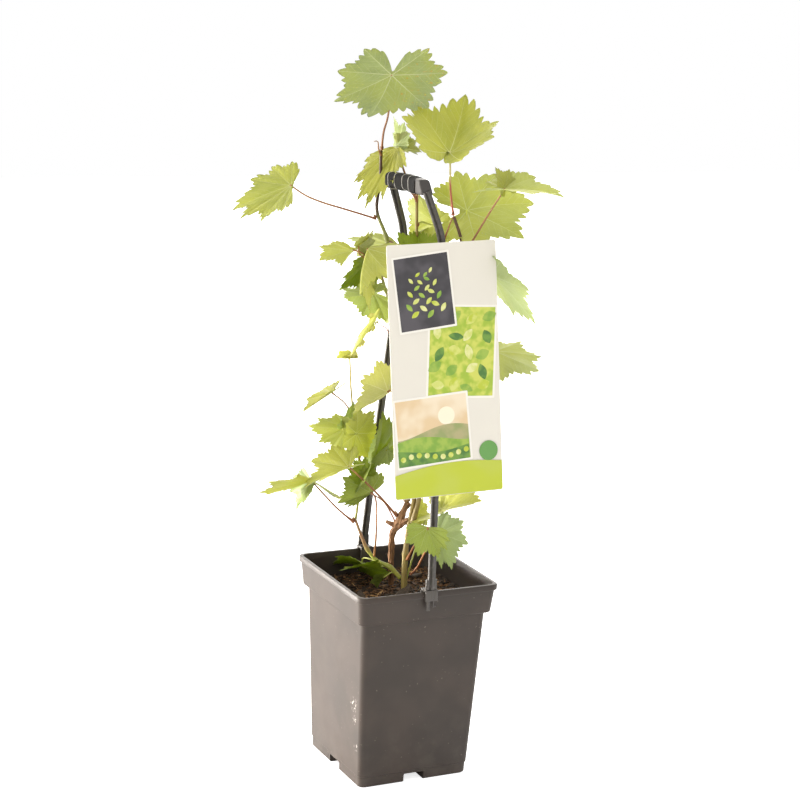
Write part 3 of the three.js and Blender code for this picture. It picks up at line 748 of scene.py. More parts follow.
leafPlan = {
    # angles from the tip of the main veins, and how many teeth lie after each
    "apexes": (0, 50, 95, 136), "toothGaps": (5, 4, 4, 3), "lastAngle": 171,
    # one tooth: shares of the way to the next tip, and how much of the notch is cut there
    "tooth": ((0, 0), (0.22, 0.16), (0.46, 0.58), (0.6, 1.0), (0.7, 0.66), (0.87, 0.22)),
    # the outline's reach at each angle from the tip, in blade lengths
    "outline": [(0, 1.0), (7, 0.965), (14, 0.905), (26, 0.80), (36, 0.82), (43, 0.89), (50, 0.93),
                (57, 0.90), (64, 0.83), (73, 0.745), (81, 0.765), (88, 0.81), (95, 0.835), (102, 0.81),
                (109, 0.745), (116, 0.675), (126, 0.68), (136, 0.69), (143, 0.67), (152, 0.61),
                (161, 0.49), (171, 0.12)],
    # where the rings of points lie between the junction and the margin
    "rings": (0.05, 0.12, 0.2, 0.3, 0.41, 0.52, 0.62, 0.71, 0.79, 0.86, 0.92, 0.965, 1.0),
    "toothDepth": 0.11, "foldWidth": 0.06, "backCurl": 0.4, "thickness": 0.32 * mm,
    "letThrough": 0.42, "veinSpacing": 0.125, "veinLean": 0.9,
    "puff": 0.02, "pleat": 0.005, "ripple": 0.03,
}

# Each mass: its blades, and the stalk each grows on. A blade has the place of its junction (mm), or
# none when it is centred in its mass, the turn of its axis (heading, rise, roll), its length (mm),
# bend and fold, and how far each half spreads and reaches. A stalk is a CAD node, or the limb it
# grows from, the share of the way up it, points on the way and its skin. A blade that is over shows
# its underside.
sprays = {
    "foliage_top": [
        dict(place=(-5.5, 52.5, 677.5), turn=(-138, -46, -177), length=65, bend=22, fold=0,
             spread=(1.05, .93), tint="gold", stalk="leafstalk_top")],
    "foliage_upper_right": [
        dict(place=(32, -3, 611), turn=(52, 19, -5), length=75, bend=-45, fold=35, spread=(1.12, 1.05),
             reach=(.85, .92), tint="fresh", stalk="leafstalk_upper_right")],
    "foliage_hooked": [
        dict(place=(9, 62, 609), turn=(-167, -58, -11), length=70, bend=5, fold=8, spread=(.42, .45),
             tint="yellowWithPaintedShade", stalk=("cane_middle", 1, [(7, 41, 587)], "red")),
        dict(place=(7, 62.5, 608), turn=(42, 81, -136), length=29, bend=20, fold=20, spread=(.6, .6),
             tint="pale"),
        dict(place=(9.5, 62, 609), turn=(-33, -4, 40), length=24, bend=20, fold=20, spread=(.7, .7),
             tint="fresh")],
    "foliage_far_left": [
        dict(place=(-93, 81.5, 569), turn=(158, -19, 27), length=61, bend=10, fold=4, spread=(.75, .52),
             reach=(.8, 1.08), tint="gold", stalk="leafstalk_far_left")],
    "foliage_right_back": [
        dict(place=(66, 19, 551.5), turn=(-17, 15, -36), length=69, bend=25, fold=5, spread=(1, .9),
             reach=(1, .9), tint="leafGreen", stalk="leafstalk_right_back")],
    "foliage_right_tip": [
        dict(place=(68, -49, 581.5), turn=(-40, 5, -10), length=57, bend=20, fold=15, reach=(.9, .7),
             tint="leafGreen", stalk="leafstalk_right"),
        dict(place=(69, -47.5, 581.5), turn=(134, 68, 17), length=22, bend=15, fold=15, spread=(.8, .8),
             tint="fresh")],
    "foliage_behind_handle": [
        dict(turn=(125, 20, 115), length=40, bend=25, fold=15, spread=(.9, 1), tint="leafGreen",
             stalk=("cane_middle", .93, [], "green"))],
    "foliage_behind_card": [
        dict(turn=(70, 55, 5), length=37, bend=20, fold=40, tint="shade",
             stalk=("cane_middle", .8, [], "green"))],
    "foliage_left_young": [
        dict(place=(-57, 13, 517), turn=(90, -30, 10), length=33, bend=15, fold=25, spread=(1, .8),
             reach=(.9, 1.2), tint="fresh", over=True, stalk=("side_shoot", 1, [], "red")),
        dict(place=(-53, 9.5, 521), turn=(-16, 39, -138), length=21, bend=20, fold=10, spread=(.7, .7),
             tint="fresh", over=True, stalk=("side_shoot", .97, [], "red"))],
    "foliage_left_folded": [
        dict(turn=(-130, -30, 135), length=59, bend=-20, fold=50, spread=(.8, .9), reach=(.9, 1.1),
             tint="fresh", over=True, stalk=("side_shoot", .9, [], "red"))],
    "foliage_left_shaded": [
        dict(place=(-33.5, 32.5, 500.5), turn=(169, -49, 130), length=36, bend=5, fold=15,
             spread=(.8, .8), tint="shade", stalk=("side_shoot", .6, [], "green"))],
    "foliage_left_lower": [
        dict(place=(-27.5, 24.5, 472.5), turn=(125, -18, 137), length=36, bend=15, fold=20,
             spread=(1, .9), reach=(1, 1.1), tint="middling", stalk=("side_shoot", .45, [], "green"))],
    "foliage_mid_left": [
        dict(turn=(-170, -20, -60), length=46, bend=10, fold=30, spread=(1.1, .9), reach=(1, .9),
             tint="olive", stalk=("cane_middle", .33, [(-11, 2, 374)], "red"))],
    "foliage_edge_left": [
        dict(turn=(170, -35, -10), length=35, bend=-5, fold=10, spread=(.9, 1), tint="yellowWithPaintedShade",
             stalk=("low_shoot_tip", 1, [(-46, 35, 360)], "red"))],
    "foliage_spread_left": [
        dict(place=(-48, 30.5, 338.5), turn=(150, -3, 120), length=37, bend=5, fold=20, spread=(.8, .6),
             reach=(1, .9), tint="leafGreen", stalk=("low_shoot_tip", .6, [(-43, 27, 333)], "green")),
        dict(place=(-50.5, 32, 339.5), turn=(-22, 65, -142), length=28, bend=10, fold=15,
             spread=(.6, .6), tint="pale", stalk=("low_shoot_tip", .75, [], "green"))],
    "foliage_inner_left": [
        dict(place=(-41.5, 18.5, 335.5), turn=(18, -7, -89), length=31, bend=15, fold=10,
             spread=(1.1, 1.1), tint="leafGreen", stalk=("low_shoot_tip", .85, [], "green"))],
    "foliage_inner_back": [
        dict(place=(-19, 28, 304), turn=(-75, 60, 155), length=58, bend=25, fold=15, spread=(.7, 1),
             reach=(1.1, 1), tint="shade", stalk=("low_shoot_tip", .3, [], "green")),
        dict(place=(-5.5, 24, 315.5), turn=(165, -26, 33), length=27, bend=10, fold=10, spread=(.8, .8),
             tint="pale", stalk=("low_shoot_tip", .4, [], "green"))],
    "foliage_long_left": [
        dict(place=(-59.5, -5, 309.5), turn=(170, -17, 6), length=47, bend=15, fold=25, spread=(.85, .75),
             reach=(.88, 1), tint="fresh", stalk="leafstalk_long_left")],
    "foliage_drooping_left": [
        dict(place=(-76.5, 42.5, 283), turn=(137, -52, 39), length=34, bend=20, fold=20, spread=(.6, .7),
             tint="sage", stalk="leafstalk_drooping")],
    "foliage_outer_left": [
        dict(place=(-76, 43.5, 284), turn=(-130, 20, -180), length=54, bend=5, fold=25, spread=(.62, .62),
             reach=(1, 1.2), tint="fresh")],
    "foliage_low_left": [
        dict(place=(-26, 14, 276), turn=(158, -21, 86), length=34, bend=10, fold=10, spread=(1, .14),
             tint="middling", stalk=("old_stem", .7, [(-11.8, 9.6, 265.2)], "red"))],
    "foliage_right_middle": [
        dict(turn=(-45, -35, 35), length=63, bend=15, fold=0, spread=(.9, 1), tint="pale",
             stalk=("cane_right", .72, [(60, -12, 497)], "red"))],
    "foliage_right_low": [
        dict(turn=(-60, -10, 165), length=51, bend=-10, fold=10, spread=(.9, .9), reach=(1, .9),
             tint="leafGreen", stalk=("cane_right", .4, [(55, -12, 410)], "red"))],
    "foliage_under_card": [
        dict(turn=(-65, 25, -25), length=51, bend=5, fold=20, spread=(1, .9), tint="fresh",
             stalk=("cane_middle", .02, [(22, -12, 250)], "green"))],
    "foliage_front_low": [
        dict(place=(-13, -84.5, 268), turn=(-55, -64, -67), length=30, bend=10, fold=15, spread=(.8, .45),
             tint="middling", stalk="leafstalk_front")],
    "foliage_front_right": [
        dict(place=(16.5, -51.5, 250.5), turn=(-64, -61, -51), length=37, bend=10, fold=10,
             spread=(.3, 1), reach=(1, .88), tint="sage", stalk="leafstalk_front_right")],
    "foliage_inner_low": [
        dict(turn=(25, 20, -75), length=18, bend=5, fold=25, spread=(.9, .9), reach=(1.1, 1),
             tint="fresh", stalk=("cane_middle", .01, [], "green"))],
    "foliage_soil_left": [
        dict(turn=(120, 5, -25), length=34, bend=45, fold=0, spread=(1.1, 1), reach=(1, .9),
             tint="shade", over=True, stalk=("low_shoot", .2, [(-19, 32, 203)], "green"))],
    "foliage_soil_front": [
        dict(turn=(-80, 20, -160), length=28, bend=25, fold=20, spread=(1, 1.1), reach=(1.1, 1),
             tint="shade", stalk=("low_shoot", .15, [], "green")),
        dict(offset=(12, -23, -6), turn=(115, -50, -5), length=14, bend=25, fold=20, tint="shade",
             stalk=("low_shoot", .1, [], "green"))],
    "foliage_back_high": [
        dict(turn=(60, -25, 10), length=60, bend=30, fold=15, tint="leafGreen",
             stalk=("cane_left", .73, [], "red"))],
    "foliage_back_middle": [
        dict(turn=(75, -20, -20), length=56, bend=25, fold=20, tint="leafGreen",
             stalk=("cane_left", .55, [(20, 45, 425)], "red"))],
    "foliage_back_right": [
        dict(turn=(30, -30, 15), length=52, bend=20, fold=20, tint="leafGreen",
             stalk=("cane_right", .3, [(36, 10, 356)], "red"))],
}


def nearestVein(tree, place):
    # distance along and across the nearest of the blade's main veins, in blade lengths; side is 0 or 1
    across = addNode(tree, "ShaderNodeSeparateXYZ", links={0: place})
    x, y = calculate(tree, "ABSOLUTE", across.outputs[0]), across.outputs[1]
    best = None
    for degrees in leafPlan["apexes"]:
        sine, cosine = math.sin(math.radians(degrees)), math.cos(math.radians(degrees))
        along = calculate(tree, "MULTIPLY_ADD", y, cosine, calculate(tree, "MULTIPLY", x, sine))
        signed = calculate(tree, "MULTIPLY_ADD", x, cosine, calculate(tree, "MULTIPLY", y, -sine))
        off = calculate(tree, "ABSOLUTE", signed)
        behind = calculate(tree, "LESS_THAN", along, 0.0)
        far = calculate(tree, "MULTIPLY_ADD", behind, 5.0, off)
        side = calculate(tree, "LESS_THAN", signed, 0.0)
        if best is None:
            best = (far, along, off, side)
            continue
        closer = calculate(tree, "LESS_THAN", far, best[0])
        best = (calculate(tree, "MINIMUM", far, best[0]),) + tuple(
            addNode(tree, "ShaderNodeMix", links={0: closer, 2: old, 3: new}).outputs[0]
            for old, new in zip(best[1:], (along, off, side)))
    return best[1:]


def leafMaterial(name, young, deep, vein, glow, under=False, flecks=False):
    # a vine leaf: satin cuticle over thin tissue that lets light through, and pale veins that branch
    # to the teeth; the underside is duller, with veins that stand out
    surface = {"Roughness": 0.62 if under else 0.43, "IOR": 1.4}
    material, tree, shader, output = newMaterial(name, surface)
    place = attributePlace(tree, "leafPlane")
    skin = attributePlace(tree, "leafSkin")
    along, off, side = nearestVein(tree, place)
    width = calculate(tree, "MULTIPLY_ADD", along, -0.0075, 0.0095)
    main = calculate(tree, "SUBTRACT", 1.0, ramp(tree, calculate(tree, "DIVIDE", off, width), 0.45, 1.1))
    # the side veins leave the main ones at a slant and reach for the margin
    run = calculate(tree, "MULTIPLY_ADD", off, -leafPlan["veinLean"], along)
    curve = calculate(tree, "MULTIPLY", calculate(tree, "MULTIPLY", off, off), -0.5)
    run = calculate(tree, "ADD", run, curve)
    step = calculate(tree, "DIVIDE", run, leafPlan["veinSpacing"])
    step = calculate(tree, "MULTIPLY_ADD", side, 0.45, step)
    apart = calculate(tree, "ABSOLUTE", calculate(tree, "SUBTRACT", calculate(tree, "FRACT", step), 0.5))
    reach = calculate(tree, "MULTIPLY_ADD", off, -0.05, 0.036)
    second = calculate(tree, "SUBTRACT", 1.0, ramp(tree, calculate(tree, "DIVIDE", apart, reach), 0.35, 1.3))
    second = calculate(tree, "MULTIPLY", second, ramp(tree, off, 0.26, 0.4, 1, 0.2))
    # the finest veins, cells 2.1 mm wide: coarser than the real net, so that it shows
    cells = {"feature": "DISTANCE_TO_EDGE", "Scale": 1 / (2.1 * mm)}
    net = addNode(tree, "ShaderNodeTexVoronoi", cells, {"Vector": skin}).outputs["Distance"]
    net = ramp(tree, net, 0.02, 0.1, 1, 0)
    cloud = ramp(tree, noiseAt(tree, skin, 16 * mm, 3, 0.55), 0.3, 0.7)
    base = mixColours(tree, cloud, linear(young), linear(deep))
    # broad paler and yellower areas, as tissue of another age
    broad = ramp(tree, noiseAt(tree, skin, 45 * mm, 1), 0.42, 0.62, 0, 0.5)
    base = mixColours(tree, broad, base, linear(glow))
    if flecks:  # scorched orange flecks between the veins of one half
        across = addNode(tree, "ShaderNodeSeparateXYZ", links={0: place}).outputs[0]
        right = ramp(tree, across, 0.1, 0.25, 0, 1)
        spot = ramp(tree, noiseAt(tree, skin, 4 * mm, 3, 0.6), 0.6, 0.68)
        spot = calculate(tree, "MULTIPLY", spot, right)
        base = mixColours(tree, calculate(tree, "MULTIPLY", spot, 0.7), base, linear(scorched))
    veins = calculate(tree, "MAXIMUM", main, calculate(tree, "MULTIPLY", second, 0.62))
    veins = calculate(tree, "MAXIMUM", veins, calculate(tree, "MULTIPLY", net, 0.14))
    veined = mixColours(tree, calculate(tree, "MULTIPLY", veins, 0.85), base, linear(vein))
    colourShader(tree, shader, veined)
    relief = calculate(tree, "MULTIPLY", veins, 1.0 if under else -1.0)
    relief = calculate(tree, "MULTIPLY_ADD", noiseAt(tree, skin, 1.1 * mm, 2), 0.25, relief)
    bump(tree, shader, relief, 0.4 * mm, 0.7)
    through = mixColours(tree, calculate(tree, "MULTIPLY", veins, 0.5), linear(glow), linear(vein))
    lit = addNode(tree, "ShaderNodeBsdfTranslucent", links={0: through})
    both = addNode(tree, "ShaderNodeMixShader", {0: leafPlan["letThrough"]},
                   {1: shader.outputs[0], 2: lit.outputs[0]})
    tree.links.new(both.outputs[0], output.inputs["Surface"])
    return material


leafTints = {
    # upper young, upper deep, vein, glow; then the same for the underside
    "gold": ("#B4B85A #A2AA4C #E2E3A4 #C4C454", "#9AA874 #8C9A66 #CCD1A4 #AAB254"),
    "fresh": ("#BCBE5E #AAB054 #E0E2A4 #CCCC5C", "#B6BC86 #A8B078 #D6D9AE #C2C466"),
    "leafGreen": ("#C2C872 #B0B862 #DDE1A6 #CED064", "#BEC692 #B0B880 #D6DBAE #CCD074"),
    "olive": ("#C4C474 #B4B664 #E6E4AE #CACA60", "#C4C68C #B6BA7C #E0E0B2 #CCCC6C"),
    "shade": ("#92A238 #7C8E28 #B0BA62 #9CAC30", "#8C9A44 #7C8A36 #AEB86C #94A43A"),
    "middling": ("#A0AE52 #909E46 #C6CE88 #AAB64A", "#9EAA5C #8E9A4E #C2CA90 #A6B250"),
    # this tint is the leaves' own yellower green, darkened as painted shade on blades that the lamps light
    # strongly
    "yellowWithPaintedShade": ("#A6A640 #989A38 #CCCC80 #AAAA3C", "#9EA454 #929848 #C0C488 #A4A648"),
    "pale": ("#B4C28A #A4B47A #D2DAAE #BCC878", "#B8C494 #AAB884 #D4DCB4 #C2CC84"),
    "sage": ("#AABA80 #9CAA72 #CAD4A4 #AEBC6E", "#AEBC8A #A0AE7C #CCD6AC #B2C076"),
    "youngGold": ("#DADC74 #D0D268 #F0EDB0 #DEE070", "#E2DE92 #D8D484 #EEEAB8 #E0DE7C"),
}
scorched = "#C98A34"
leafSkins = {}
for tint, (top, bottom) in leafTints.items():
    # the golden top leaf is the oldest, and scorched underneath
    leafSkins[tint] = (leafMaterial(tint + "LeafCuticle", *top.split()),
                       leafMaterial(tint + "LeafUnderside", *bottom.split(), under=True,
                                    flecks=tint == "gold"))


def outlineColumns(rng):
    # one half of the blade: angles from the tip, the untoothed reach and the toothed reach
    tips = []
    apexes = leafPlan["apexes"]
    for start, end, gaps in zip(apexes, apexes[1:] + (leafPlan["lastAngle"],), leafPlan["toothGaps"]):
        for i in range(gaps):
            angle = start + (i + (rng.uniform(-0.14, 0.14) if i else 0)) * (end - start) / gaps
            # the main veins end in the longest teeth; a tooth leans towards the nearer of them
            longer = rng.uniform(0.01, 0.03) if i == 0 else rng.uniform(-0.035, 0.01)
            tips.append((angle, longer, i < gaps / 2))
    angles, envelope, toothed = [], [], []
    place, reach = zip(*leafPlan["outline"])
    for (tip, longer, leansBack), (following, nextLonger, _) in zip(tips, tips[1:]):
        depth = leafPlan["toothDepth"] * rng.uniform(0.7, 1.25)
        tooth = leafPlan["tooth"]
        if not leansBack:
            tooth = ((0, 0),) + tuple((1 - share, cut) for share, cut in tooth[:0:-1])
        for share, cut in tooth:
            angle = tip + share * (following - tip)
            smooth = np.interp(angle, place, reach)
            angles.append(angle)
            envelope.append(smooth * (1 - 0.5 * leafPlan["toothDepth"]))
            toothed.append(smooth * (1 - cut * depth + longer * (1 - share) + nextLonger * share))
    for angle in np.linspace(tips[-1][0], leafPlan["lastAngle"], 7):
        smooth = float(np.interp(angle, place, reach))
        angles.append(angle)
        envelope.append(smooth * 0.96)
        toothed.append(smooth)
    return np.array(angles), np.array(envelope), np.array(toothed)


def bentBlade(u, v, blade):
    # folds the blade along its midrib, then bends it along its length; all in blade lengths
    edge = leafPlan["foldWidth"]
    fold = math.radians(blade["fold"])
    bend = math.radians(blade["bend"] if abs(blade["bend"]) > 0.5 else 0.5)
    rise = (np.sqrt(u * u + edge * edge) - edge) * math.sin(fold)
    x = u * math.cos(fold)
    rate = np.where(v < 0, bend * leafPlan["backCurl"], bend)
    turn = rate * v
    return np.stack([x, np.sin(turn) / rate + rise * np.sin(turn),
                     -(1 - np.cos(turn)) / rate + rise * np.cos(turn)], axis=-1)


def bladeAxes(turn):
    # the blade's own across, along and upward directions
    heading, climb, roll = (math.radians(a) for a in turn)
    level = np.array((math.cos(heading), math.sin(heading), 0))
    upward = np.array((0, 0, 1))
    along = math.cos(climb) * level + math.sin(climb) * upward
    lift = math.cos(climb) * upward - math.sin(climb) * level
    across = np.cross(along, lift)
    return np.array((across * math.cos(roll) + lift * math.sin(roll), along,
                     lift * math.cos(roll) - across * math.sin(roll)))


def spreadHalf(angles, radii, spread, reach):
    grown = np.interp(angles, (10, 26, 40), (1, (1 + reach) / 2, reach))
    return np.radians(angles * spread), radii * grown


def plainOutline(blade):
    # the blade's plain outline, for centring the detailed one in its mass
    points = []
    for side, spread, reach in zip((1, -1), blade.get("spread", (1, 1)), blade.get("reach", (1, 1))):
        angles, radii = (np.array(k, float) for k in zip(*leafPlan["outline"]))
        turned, grown = spreadHalf(angles, radii, spread, reach)
        for share in (0.25, 0.5, 0.75, 1.0):
            points.append(np.stack([side * share * grown * np.sin(turned),
                                    share * grown * np.cos(turned)], axis=1))
    flat = np.concatenate(points)
    return bentBlade(flat[:, 0], flat[:, 1], blade) @ bladeAxes(blade["turn"]) * blade["length"] * mm


def nearestApex(u, v):
    # along and across the nearest main vein, for the relief
    bestAlong, bestOff = np.zeros_like(u), np.full_like(u, 9.0)
    for degrees in leafPlan["apexes"]:
        a = math.radians(degrees)
        along = np.abs(u) * math.sin(a) + v * math.cos(a)
        off = np.abs(np.abs(u) * math.cos(a) - v * math.sin(a)) + 5 * (along < 0)
        closer = off < bestOff
        bestAlong, bestOff = np.where(closer, along, bestAlong), np.where(closer, off, bestOff)
    return bestAlong, bestOff


def makeBlade(name, blade, at, skins, rng):
    halves = []
    for side, spread, reach in zip((1, -1), blade.get("spread", (1, 1)), blade.get("reach", (1, 1))):
        angles, envelope, toothed = outlineColumns(rng)
        turned, _ = spreadHalf(angles, envelope, spread, reach)
        grow = spreadHalf(angles, np.ones_like(angles), spread, reach)[1]
        halves.append((side, np.radians(angles), turned, envelope, toothed, grow))
    first, second = halves
    # one loop of columns: down the first half from the tip, back up the second
    columns = [(first[0], *row) for row in zip(*first[1:])]
    columns += [(second[0], *row) for row in list(zip(*second[1:]))[:0:-1]]
    side, angle, turned, envelope, toothed, grow = np.array(columns).T
    shares = np.array(leafPlan["rings"])[:, None]
    reach = shares * envelope[None] + (toothed - envelope)[None] * shares ** 7
    plain = np.stack([side * reach * np.sin(angle), reach * np.cos(angle)], axis=-1)
    flat = np.stack([side * reach * grow * np.sin(turned), reach * grow * np.cos(turned)], axis=-1)
    plain = np.concatenate([[[0.0, 0.0]], plain.reshape(-1, 2)])
    flat = np.concatenate([[[0.0, 0.0]], flat.reshape(-1, 2)])
    share = np.concatenate([[0.0], np.repeat(leafPlan["rings"], len(side))])
    around = np.concatenate([[0.0], np.tile(side * angle, len(leafPlan["rings"]))])
    # relief: tissue puffed between sunken veins, pleats along the side veins, a wavy margin
    along, off = nearestApex(plain[:, 0], plain[:, 1])
    relief = leafPlan["puff"] * (1 - np.exp(-(off / 0.06) ** 2)) * np.minimum(1, share * 3)
    step = (along - leafPlan["veinLean"] * off - 0.5 * off ** 2) / leafPlan["veinSpacing"]
    relief = relief - leafPlan["pleat"] * np.cos(2 * np.pi * (step - 0.5)) * np.minimum(1, off / 0.05)
    for waves, strength in ((rng.choice((3, 4)), 0.9), (rng.choice((7, 9)), 0.45)):
        wave = np.sin(waves * around + rng.uniform(0, 6.3))
        relief = relief + leafPlan["ripple"] * strength * share ** 3 * wave
    bent = bentBlade(flat[:, 0], flat[:, 1], blade)
    bent[:, 2] += relief
    upper = bent @ bladeAxes(blade["turn"]) * blade["length"] * mm + np.array(at)
    count, rings = len(side), len(leafPlan["rings"])
    faces = [(0, 1 + j, 1 + (j + 1) % count) for j in range(count)]
    for i in range(rings - 1):
        for j in range(count):
            k = (j + 1) % count
            a, b = 1 + i * count, 1 + (i + 1) * count
            faces.append((a + j, b + j, b + k, a + k))
    # both skins, joined round the margin
    normals = np.zeros_like(upper)
    for face in faces:
        corners = upper[list(face)]
        normals[list(face)] += np.cross(corners[1] - corners[0], corners[-1] - corners[0])
    normals /= np.linalg.norm(normals, axis=1)[:, None]
    if (normals @ bladeAxes(blade["turn"])[2]).sum() < 0:
        faces = [f[::-1] for f in faces]
        normals = -normals
    total = len(upper)
    thin = leafPlan["thickness"] * (1 - 0.6 * share[:, None] ** 6)
    lower = upper - normals * thin
    undersides = [tuple(total + i for i in f[::-1]) for f in faces]
    last = 1 + (rings - 1) * count
    rim = [(last + j, total + last + j, total + last + (j + 1) % count, last + (j + 1) % count)
           for j in range(count)]
    piece = makePiece(name, np.concatenate([upper, lower]), faces + undersides + rim, skins,
                      [0] * len(faces) + [1] * (len(faces) + len(rim)))
    piece.data.validate()
    plane = np.column_stack([plain, share])
    giveVectors(piece, "leafPlane", np.concatenate([plane, plane]))
    rng.random()  # spent, so that the draws of the leaves keep their order
    skinPlace = np.column_stack([plain * blade["length"] * mm, np.zeros(total) + rng.uniform(0, 9)])
    giveVectors(piece, "leafSkin", np.concatenate([skinPlace, skinPlace + (0, 0, 3)]))
    return piece


def growStalk(name, blade, junction):
    limb, share, via, kind = blade["stalk"]
    root = alongLimb(limb, share)
    above, below = alongLimb(limb, min(1, share + 0.05)), alongLimb(limb, max(0, share - 0.05))
    upLimb = (above - below).normalized()
    end = Vector(junction)
    span = (end - root).length
    toward = (end - root).normalized()
    if via:
        path = [root] + inMetres(via) + [end]
    else:
        out = root + (upLimb * 0.5 + toward).normalized() * span * 0.3
        arrive = Vector(bladeAxes(blade["turn"])[1])
        near = end - (toward * 1.0 + arrive * 0.45).normalized() * span * 0.3
        path = [root, out, near, end]
    thick = (0.5 + 0.007 * blade["length"]) * mm
    return skinLimb(name, path, [thick * 1.15, thick, thick * 0.92], "stalk", kind + "LeafstalkSkin",
                    endSwell=0.45)


def stalkLine(node, junction):
    # the middles and radii of a modelled leafstalk, from its foot to the end beside the junction
    line = centreLine(node)
    near, far = (Vector(junction) - line[0][0]).length, (Vector(junction) - line[-1][0]).length
    return line[::-1] if near < far else line


def coverStalk(node, junction):
    # a skin for a modelled leafstalk, led on into the blade's junction
    line = stalkLine(node, junction)
    path = [p for p, r in line]
    path[-1] = path[-1].lerp(Vector(junction), 0.5)
    path.append(Vector(junction))
    radii = [r * 0.86 for p, r in line] + [line[-1][1] * 0.8]
    skin = stalks.get(node, "redLeafstalkSkin")
    stem = skinLimb(node.replace("_", "-"), path, radii, "stalk", skin, endSwell=0.35)
    settle(stem, "cane", node)


def growSprays():
    stalkPieces = {"red": [], "green": []}
    for node, blades in sprays.items():
        rng = random.Random(node)
        low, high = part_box(node)
        offsets = [np.array(blade.get("offset", (0, 0, 0))) * mm for blade in blades]
        cloud = np.concatenate([plainOutline(blade) + offset for blade, offset in zip(blades, offsets)])
        middle = (np.array(low) + np.array(high)) / 2 - (cloud.min(0) + cloud.max(0)) / 2
        pieces = []
        for number, (blade, offset) in enumerate(zip(blades, offsets)):
            at = np.array(blade["place"]) * mm if "place" in blade else middle + offset
            blade["at"] = at
            label = node.replace("foliage_", "leaf-").replace("_", "-")
            if number:
                label += "-" + str(number + 1)
            skins = leafSkins[blade["tint"]]
            pieces.append(makeBlade(label, blade, at, skins[::-1] if blade.get("over") else skins, rng))
            if "stalk" not in blade:  # it shares a junction with another blade
                continue
            if isinstance(blade["stalk"], str):
                coverStalk(blade["stalk"], at)
            else:
                stalkPieces[blade["stalk"][3]].append(growStalk(label + "-stalk", blade, at))
        for piece in pieces[1:]:
            settle(piece, "leaf")
        settle(pieces[0], "leaf", node)
    for kind, pieces in stalkPieces.items():
        settle(joinPieces(kind + "-leafstalks", pieces), "cane")


growSprays()
print("leaves and leafstalks grown")


handleLook = {
    # the legs' section in mm, across and outwards: two rails with a groove between them
    "legSection": [(-3.8, 0.9), (-3.4, 1.5), (-2.5, 1.5), (-2.1, 0.5), (-1.0, 0.4), (-0.7, 2.2),
                   (-0.2, 2.6), (0.6, 2.6), (1.1, 1.8), (3.2, 1.4), (3.8, 0.9)],
    "elbowRadius": 15 * mm, "legEntry": 7 * mm, "footFlare": 0.4, "flareHeight": 16 * mm,
    # the grip's width and height in mm, and how far its back, middle and front lie above its level
    "gripWide": 13.6, "gripTall": 15.2, "gripRises": (-1.0, 0.8, 1.2), "squareness": 3.2,
    "backTrim": 4 * mm, "frontTrim": 3.5 * mm,
    # ribs across the grip, painted pale as highlights on their crests: their shares of its length, width and
    # slant
    "ribShares": (0.13, 0.28, 0.46, 0.64), "ribWide": 0.55 * mm, "ribLean": 0.16, "ribProud": 0.5,
    # the bracket that takes the front leg
    "bracketFrom": 0.83, "bracketWide": 11.5, "bracketTall": 15.0, "bracketLean": 0.36,
    "colour": "#423E39", "worn": "#6A655E", "bracketColour": "#37332F", "bracketWorn": "#4A4540",
    # the ribs' pale colours are a painted highlight, standing for light caught on their crests
    "rubberColour": "#1A1918", "rubberWorn": "#2A2827", "ribHighlightColour": "#A8A299", "ribHighlightMarks": "#A9A39A",
}


def legPlastic(name, colour, worn, roughness=0.4, shine=1.49):
    # moulded plastic, from glossy polypropylene to dull rubber, scratched paler on its edges
    material, tree, shader, output = newMaterial(name, {"Roughness": roughness, "IOR": shine})
    place = objectPlace(tree)
    scratches = ramp(tree, noiseAt(tree, place, 4 * mm, 5, 0.65), 0.5, 0.72)
    edge = addNode(tree, "ShaderNodeNewGeometry").outputs["Pointiness"]
    rubbed = calculate(tree, "MAXIMUM", calculate(tree, "MULTIPLY", scratches, 0.5),
                       ramp(tree, edge, 0.52, 0.6))
    colourShader(tree, shader, mixColours(tree, rubbed, linear(colour), linear(worn)))
    bump(tree, shader, noiseAt(tree, place, 1.5 * mm, 3), 0.06 * mm, 0.7)
    return material


handlePlastic = legPlastic("mouldedPolypropyleneHandle", handleLook["colour"], handleLook["worn"])
bracketPlastic = legPlastic("mouldedPolypropyleneBracket", handleLook["bracketColour"],
                            handleLook["bracketWorn"], 0.5)
gripRubber = legPlastic("ribbedThermoplasticRubber", handleLook["rubberColour"],
                        handleLook["rubberWorn"], 0.8, 1.2)
# the ribs' material is a painted highlight: pale all over, for light caught on their crests
ribHighlightPlastic = legPlastic("ribCrestPaintedHighlight", handleLook["ribHighlightColour"], handleLook["ribHighlightMarks"])


def roundedLine(points, radius, steps=5):
    # a line through the points with its corners rounded
    points = [np.array(p) for p in points]
    out = [points[0]]
    for before, corner, after in zip(points, points[1:], points[2:]):
        back, ahead = before - corner, after - corner
        backLong, aheadLong = np.linalg.norm(back), np.linalg.norm(ahead)
        a = corner + back / backLong * min(radius, backLong * 0.45)
        b = corner + ahead / aheadLong * min(radius, aheadLong * 0.45)
        for t in np.linspace(0, 1, steps):
            out.append((1 - t) ** 2 * a + 2 * t * (1 - t) * corner + t * t * b)
    out.append(points[-1])
    return np.array(out)


